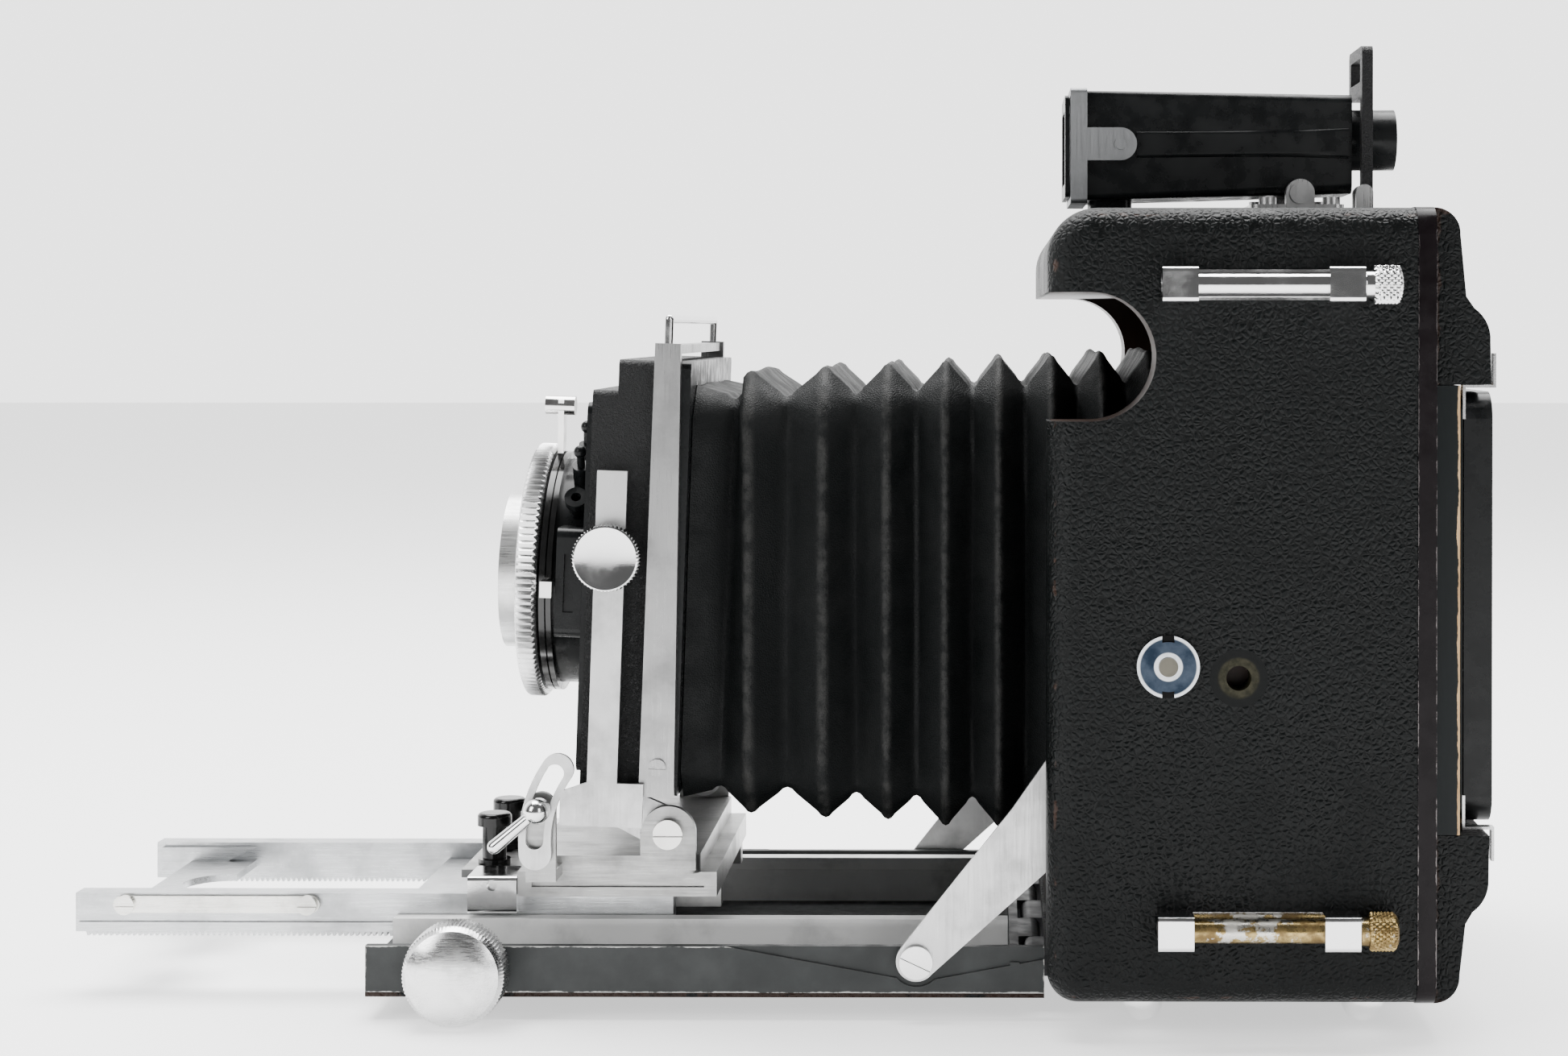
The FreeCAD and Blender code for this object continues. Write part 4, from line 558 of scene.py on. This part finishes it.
def make_bellows():
    """The pleated bellows, built in five lengths."""
    cloth = pleat_cloth()
    rings = stations()
    breaks = [BELLOWS_FRONT, FIRST_VALLEY]
    valleys = [x for x, height, lean in rings if height == 0.0 and x > FIRST_VALLEY + 0.001]
    breaks += [valleys[0], valleys[1], min(valleys, key=lambda x: abs(x - BED_BREAK)), BELLOWS_REAR]
    for number in range(5):
        start, end = breaks[number], breaks[number + 1]
        chosen = [ring for ring in rings if start - TINY <= ring[0] <= end + TINY]
        mesh = bpy.data.meshes.new("bellows_part")
        build = bmesh.new()
        layer = build.verts.layers.float.new("crest")
        loops = []
        for x, height, lean in chosen:
            loop = []
            for point in fold_ring(x, height, lean):
                vert = build.verts.new(point)
                vert[layer] = height
                loop.append(vert)
            loops.append(loop)
        for first, second in zip(loops, loops[1:]):
            for i in range(len(first)):
                j = (i + 1) % len(first)
                build.faces.new((first[i], first[j], second[j], second[i]))
        bmesh.ops.recalc_face_normals(build, faces=build.faces)
        build.to_mesh(mesh)
        build.free()
        mesh.shade_smooth()
        mesh.set_sharp_from_angle(angle=math.radians(62.0))
        piece = place_object("bellows_pleats_%d" % (number + 1), mesh)
        mesh.materials.append(cloth.material)
        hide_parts("bellows")
        if number == 0:
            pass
        elif number == 1:
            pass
        else:
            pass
        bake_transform(piece)


# ------------------------------------------------------------------ turned and knurled pieces


def turned(name, body, shader, start, axis, profile, teeth, crossed=0.0):
    """A lathe-turned piece. profile is (radius, distance along the axis, knurl depth) from end to end.
    crossed twists the knurl both ways, in radians for each metre along, to cut it into diamonds."""
    axis = Vector(axis).normalized()
    side = axis.orthogonal().normalized()
    other = axis.cross(side)
    count = teeth * KNURL_STEPS
    build = bmesh.new()
    loops = []
    for radius, along, depth in profile:
        centre = Vector(start) + axis * along
        if radius == 0.0:
            loops.append([build.verts.new(centre)])
            continue
        loop = []
        for step in range(count):
            turn = 2 * math.pi * step / count
            shift = crossed * along
            cut = 0.5 - 0.5 * math.cos(teeth * turn + shift)
            if crossed:
                cut = max(cut, 0.5 - 0.5 * math.cos(teeth * turn - shift))
            reach = radius - depth * cut
            loop.append(build.verts.new(centre + (side * math.cos(turn) + other * math.sin(turn)) * reach))
        loops.append(loop)
    for first, second in zip(loops, loops[1:]):
        for i in range(count):
            j = (i + 1) % count
            corners = [first[i % len(first)], first[j % len(first)],
                       second[j % len(second)], second[i % len(second)]]
            build.faces.new(list(dict.fromkeys(corners)))
    bmesh.ops.recalc_face_normals(build, faces=build.faces)
    mesh = bpy.data.meshes.new(name)
    build.to_mesh(mesh)
    build.free()
    mesh.shade_smooth()
    mesh.set_sharp_from_angle(angle=math.radians(32.0))
    mesh.materials.append(shader.material)
    piece = place_object(name, mesh)
    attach(piece, body)
    return piece


def leaned(x, y, z):
    """A place on the upright front standard, in metres, after the standard has been tipped back."""
    turn = Matrix.Rotation(LEAN, 4, "Y")
    point = Vector((x, y, z)) * MM
    return TILT_PIVOT + turn @ (point - TILT_PIVOT)


def make_focus_knobs():
    """Two domed focusing knobs with a finely milled rim, one at each end of the pinion."""
    pinion = (-0.203, 0, 0.004385)
    edge, shoulder, rise = 0.0129, 0.0801, 0.0038
    shader = brushed("knob_satin", 0, (0.78, 0.78, 0.78), 0.19)
    for side, name in ((-1, "near"), (1, "far")):
        rim = [(0.0030, 0.0702, 0), (0.0124, 0.0704, 0), (0.0133, 0.0710, 0.0004), (0.0136, 0.0716, 0.0006),
               (0.0136, 0.0790, 0.0006), (0.0134, 0.0797, 0.0003), (edge, shoulder, 0)]
        crown = [(edge * math.cos(t) if t < 0.5 * math.pi else 0.0, shoulder + rise * math.sin(t), 0)
                 for t in (0.35, 0.7, 1.0, 1.25, 1.42, 1.58)]
        knob = turned(name + "_focus_knob", "pinion", shader, pinion, (0, side, 0),
                      rim + crown, 84)
        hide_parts("focus_knobs")


def make_rise_knobs():
    """Two milled wheels with a dished face that lock the rise, one on each upright."""
    upright_face, collar = 0.0632, 0.0016
    base = upright_face + collar
    shape = ((0.0, -collar, 0), (0.0050, -0.0015, 0), (0.0050, 0.0001, 0), (0.0080, 0.0003, 0),
             (0.0087, 0.0007, 0.0003), (0.0090, 0.0012, 0.0005), (0.0090, 0.0062, 0.0005),
             (0.0087, 0.0068, 0.0002), (0.0082, 0.0071, 0), (0.0060, 0.0067, 0),
             (0.0030, 0.00645, 0), (0.0, 0.0064, 0))
    profile = [(radius, base + along, depth) for radius, along, depth in shape]
    shader = chrome("knob_chrome", (0.78, 0.78, 0.78), 0.06, 0.25)
    for side, end in ((-1, "near"), (1, "far")):
        knob = turned(end + "_rise_knob_wheel", end + "_rise_lock", shader,
                      leaned(-167.0, 0, 112.0), (0, side, 0), profile, 56)
        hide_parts(end + "_rise_knob")


def make_clip_heads():
    """Rod and diamond-knurled head of both side clips. right is where the bracket ends, in millimetres."""
    clip_y = -0.0985
    rod_start, rod_r, neck_r, grip_r = -0.019, 0.003, 0.0036, 0.0050
    rows, row_pitch = 15, 0.00042
    for name, right, height, shader, kind in (("upper", 30.9, 184.1, chrome("head_chrome"), "chrome"),
                                              ("lower", 29.9, 20.7, brass("head_brass"), "brass")):
        head = (right + 2.3) * MM
        knurl = [(grip_r, head + 0.0006 + row_pitch * row, 0.0006) for row in range(rows)]
        profile = [(0.0, rod_start, 0), (rod_r, rod_start, 0), (rod_r, (right + 0.3) * MM, 0),
                   (neck_r, (right + 0.4) * MM, 0), (neck_r, head, 0), (0.0042, head + 0.0001, 0)]
        profile += knurl
        profile += [(0.0043, head + 0.0069, 0), (0.0034, head + 0.0074, 0), (0.0, head + 0.0076, 0)]
        piece = turned(name + "_clip_screw", name + "_pin", shader,
                       (0, clip_y, height * MM), (1, 0, 0), profile, 22, crossed=3700.0)
        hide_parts(name + "_clip_pin")


def make_speed_ring():
    """The serrated ring round the lens that sets the shutter speed."""
    shader = brushed("ring_satin", 0, (0.70, 0.70, 0.70), 0.24)
    axis = (math.cos(LEAN), 0, -math.sin(LEAN))
    start = leaned(-197.0, 0, LENS_HEIGHT)
    bore = 0.02698
    profile = [(bore, 0.0062, 0), (bore, 0.0, 0), (0.0300, 0.0, 0), (0.0346, 0.0002, 0),
               (0.0358, 0.0007, 0.0004), (0.0363, 0.0014, 0.0008), (0.0363, 0.0050, 0.0008),
               (0.0357, 0.0057, 0.0003), (0.0350, 0.0062, 0), (bore, 0.0062, 0)]
    ring = turned("serrated_speed_ring", "shutter_speed", shader, start, axis,
                  profile, 112)
    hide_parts("speed_ring")


# ------------------------------------------------------------------ light, floor and camera


FLOOR_REACH = 6.0                        # to the sides and the back
FLOOR_FRONT = 3.2
FLOOR_HEIGHT = -0.0094                   # under the rims of the focusing knobs
FLOOR_GLOW = 0.95
BACKDROP_Y = (-0.1, 0.6)                 # direction along Y over which the backdrop brightens
BACKDROP_GLOW = (0.13, 2.9)
CAMERA_PLACE = (-0.0635, -0.801, 0.1731)
CAMERA_DOWN = 0.5                        # degrees that the camera looks down, and to its left
CAMERA_LEFT = 0.5


def area_light(name, place, target, size, power):
    lamp = bpy.data.lights.new(name, "AREA")
    lamp.shape = "RECTANGLE"
    lamp.size, lamp.size_y = size
    lamp.energy = power
    holder = place_object(name, lamp)
    holder.location = place
    holder.rotation_euler = (Vector(target) - Vector(place)).to_track_quat("-Z", "Y").to_euler()


def make_studio():
    """Pale floor, a backdrop that brightens towards the back, and three soft lamps."""
    floor_mesh = bpy.data.meshes.new("floor")
    corners = [(-FLOOR_REACH, -FLOOR_FRONT, FLOOR_HEIGHT), (FLOOR_REACH, -FLOOR_FRONT, FLOOR_HEIGHT),
               (FLOOR_REACH, FLOOR_REACH, FLOOR_HEIGHT), (-FLOOR_REACH, FLOOR_REACH, FLOOR_HEIGHT)]
    floor_mesh.from_pydata(corners, [], [(0, 1, 2, 3)])
    floor = place_object("floor", floor_mesh)
    pale = Shader("pale_floor", (0.95, 0.95, 0.95), 0.7,
                  Emission_Color=(1, 1, 1, 1), Emission_Strength=FLOOR_GLOW)
    floor_mesh.materials.append(pale.material)
    world = bpy.data.worlds.new("studio")
    world.use_nodes = True
    bpy.context.scene.world = world
    nodes, links = world.node_tree.nodes, world.node_tree.links
    background = nodes["Background"]
    background.inputs["Color"].default_value = (1.0, 1.0, 1.0, 1.0)
    direction = nodes.new("ShaderNodeTexCoord")
    split = nodes.new("ShaderNodeSeparateXYZ")
    links.new(direction.outputs["Generated"], split.inputs[0])
    ramp = nodes.new("ShaderNodeMapRange")
    ramp.interpolation_type = "SMOOTHSTEP"
    set_range(ramp, *BACKDROP_Y, *BACKDROP_GLOW)
    links.new(split.outputs["Y"], ramp.inputs["Value"])
    links.new(ramp.outputs["Result"], background.inputs["Strength"])
    area_light("overhead", (-0.10, 0.30, 1.40), (-0.08, 0.05, 0.0), (1.6, 1.0), 62.0)
    area_light("front_left", (-1.10, -0.95, 0.80), (-0.1, -0.05, 0.1), (0.6, 0.9), 12.0)
    area_light("front_right", (0.70, -1.20, 0.55), (0.0, -0.05, 0.1), (0.4, 0.8), 5.0)


def make_camera():
    """The camera, nearly level and square to the side of the object, with its frame shifted."""
    lens = bpy.data.cameras.new("camera")
    lens.sensor_width = 36.0
    lens.lens = 63.92
    lens.shift_x = -0.1154
    lens.shift_y = -0.1120
    lens.clip_start = 0.01
    lens.clip_end = 50.0
    holder = place_object("camera", lens)
    holder.location = CAMERA_PLACE
    holder.rotation_euler = (math.radians(90.0 - CAMERA_DOWN), 0.0, math.radians(CAMERA_LEFT))
    bpy.context.scene.camera = holder


material_library()
make_bellows()
make_focus_knobs()
make_rise_knobs()
make_clip_heads()
make_speed_ring()
crisp(["leather_cover", "back_caps"], 0.0009, 30.0)
crisp(["bed_tray", "trim_frame", "finder_tube", "focusing_hood", "lens_box", "carriage",
       "standard_uprights", "near_strut", "far_strut", "clip_brackets", "focus_rails", "fixed_tracks",
       "rail_braces", "rail_guide_strip", "wire_finder", "finder_channels", "peep_sight",
       "finder_front_plate", "back_frame", "spring_back_frame"], 0.0003)
crisp(["strut_guide_pins", "feet", "finder_mounts", "hood_latch_button", "strut_screws", "tilt_screws",
       "near_tilt_lever", "cocking_lever", "aperture_lever", "release_lever", "near_pinch_knob",
       "far_pinch_knob", "near_infinity_stop", "far_infinity_stop", "lens_barrel", "lens_board",
       "shutter_body", "shutter_fittings",
       "tripod_bushes", "lens_glass", "finder_glass", "finder_mask", "bed_hinge", "standard_rear_plate",
       "back_leaf_springs", "pinion_shaft"], 0.0002)
make_studio()
make_camera()
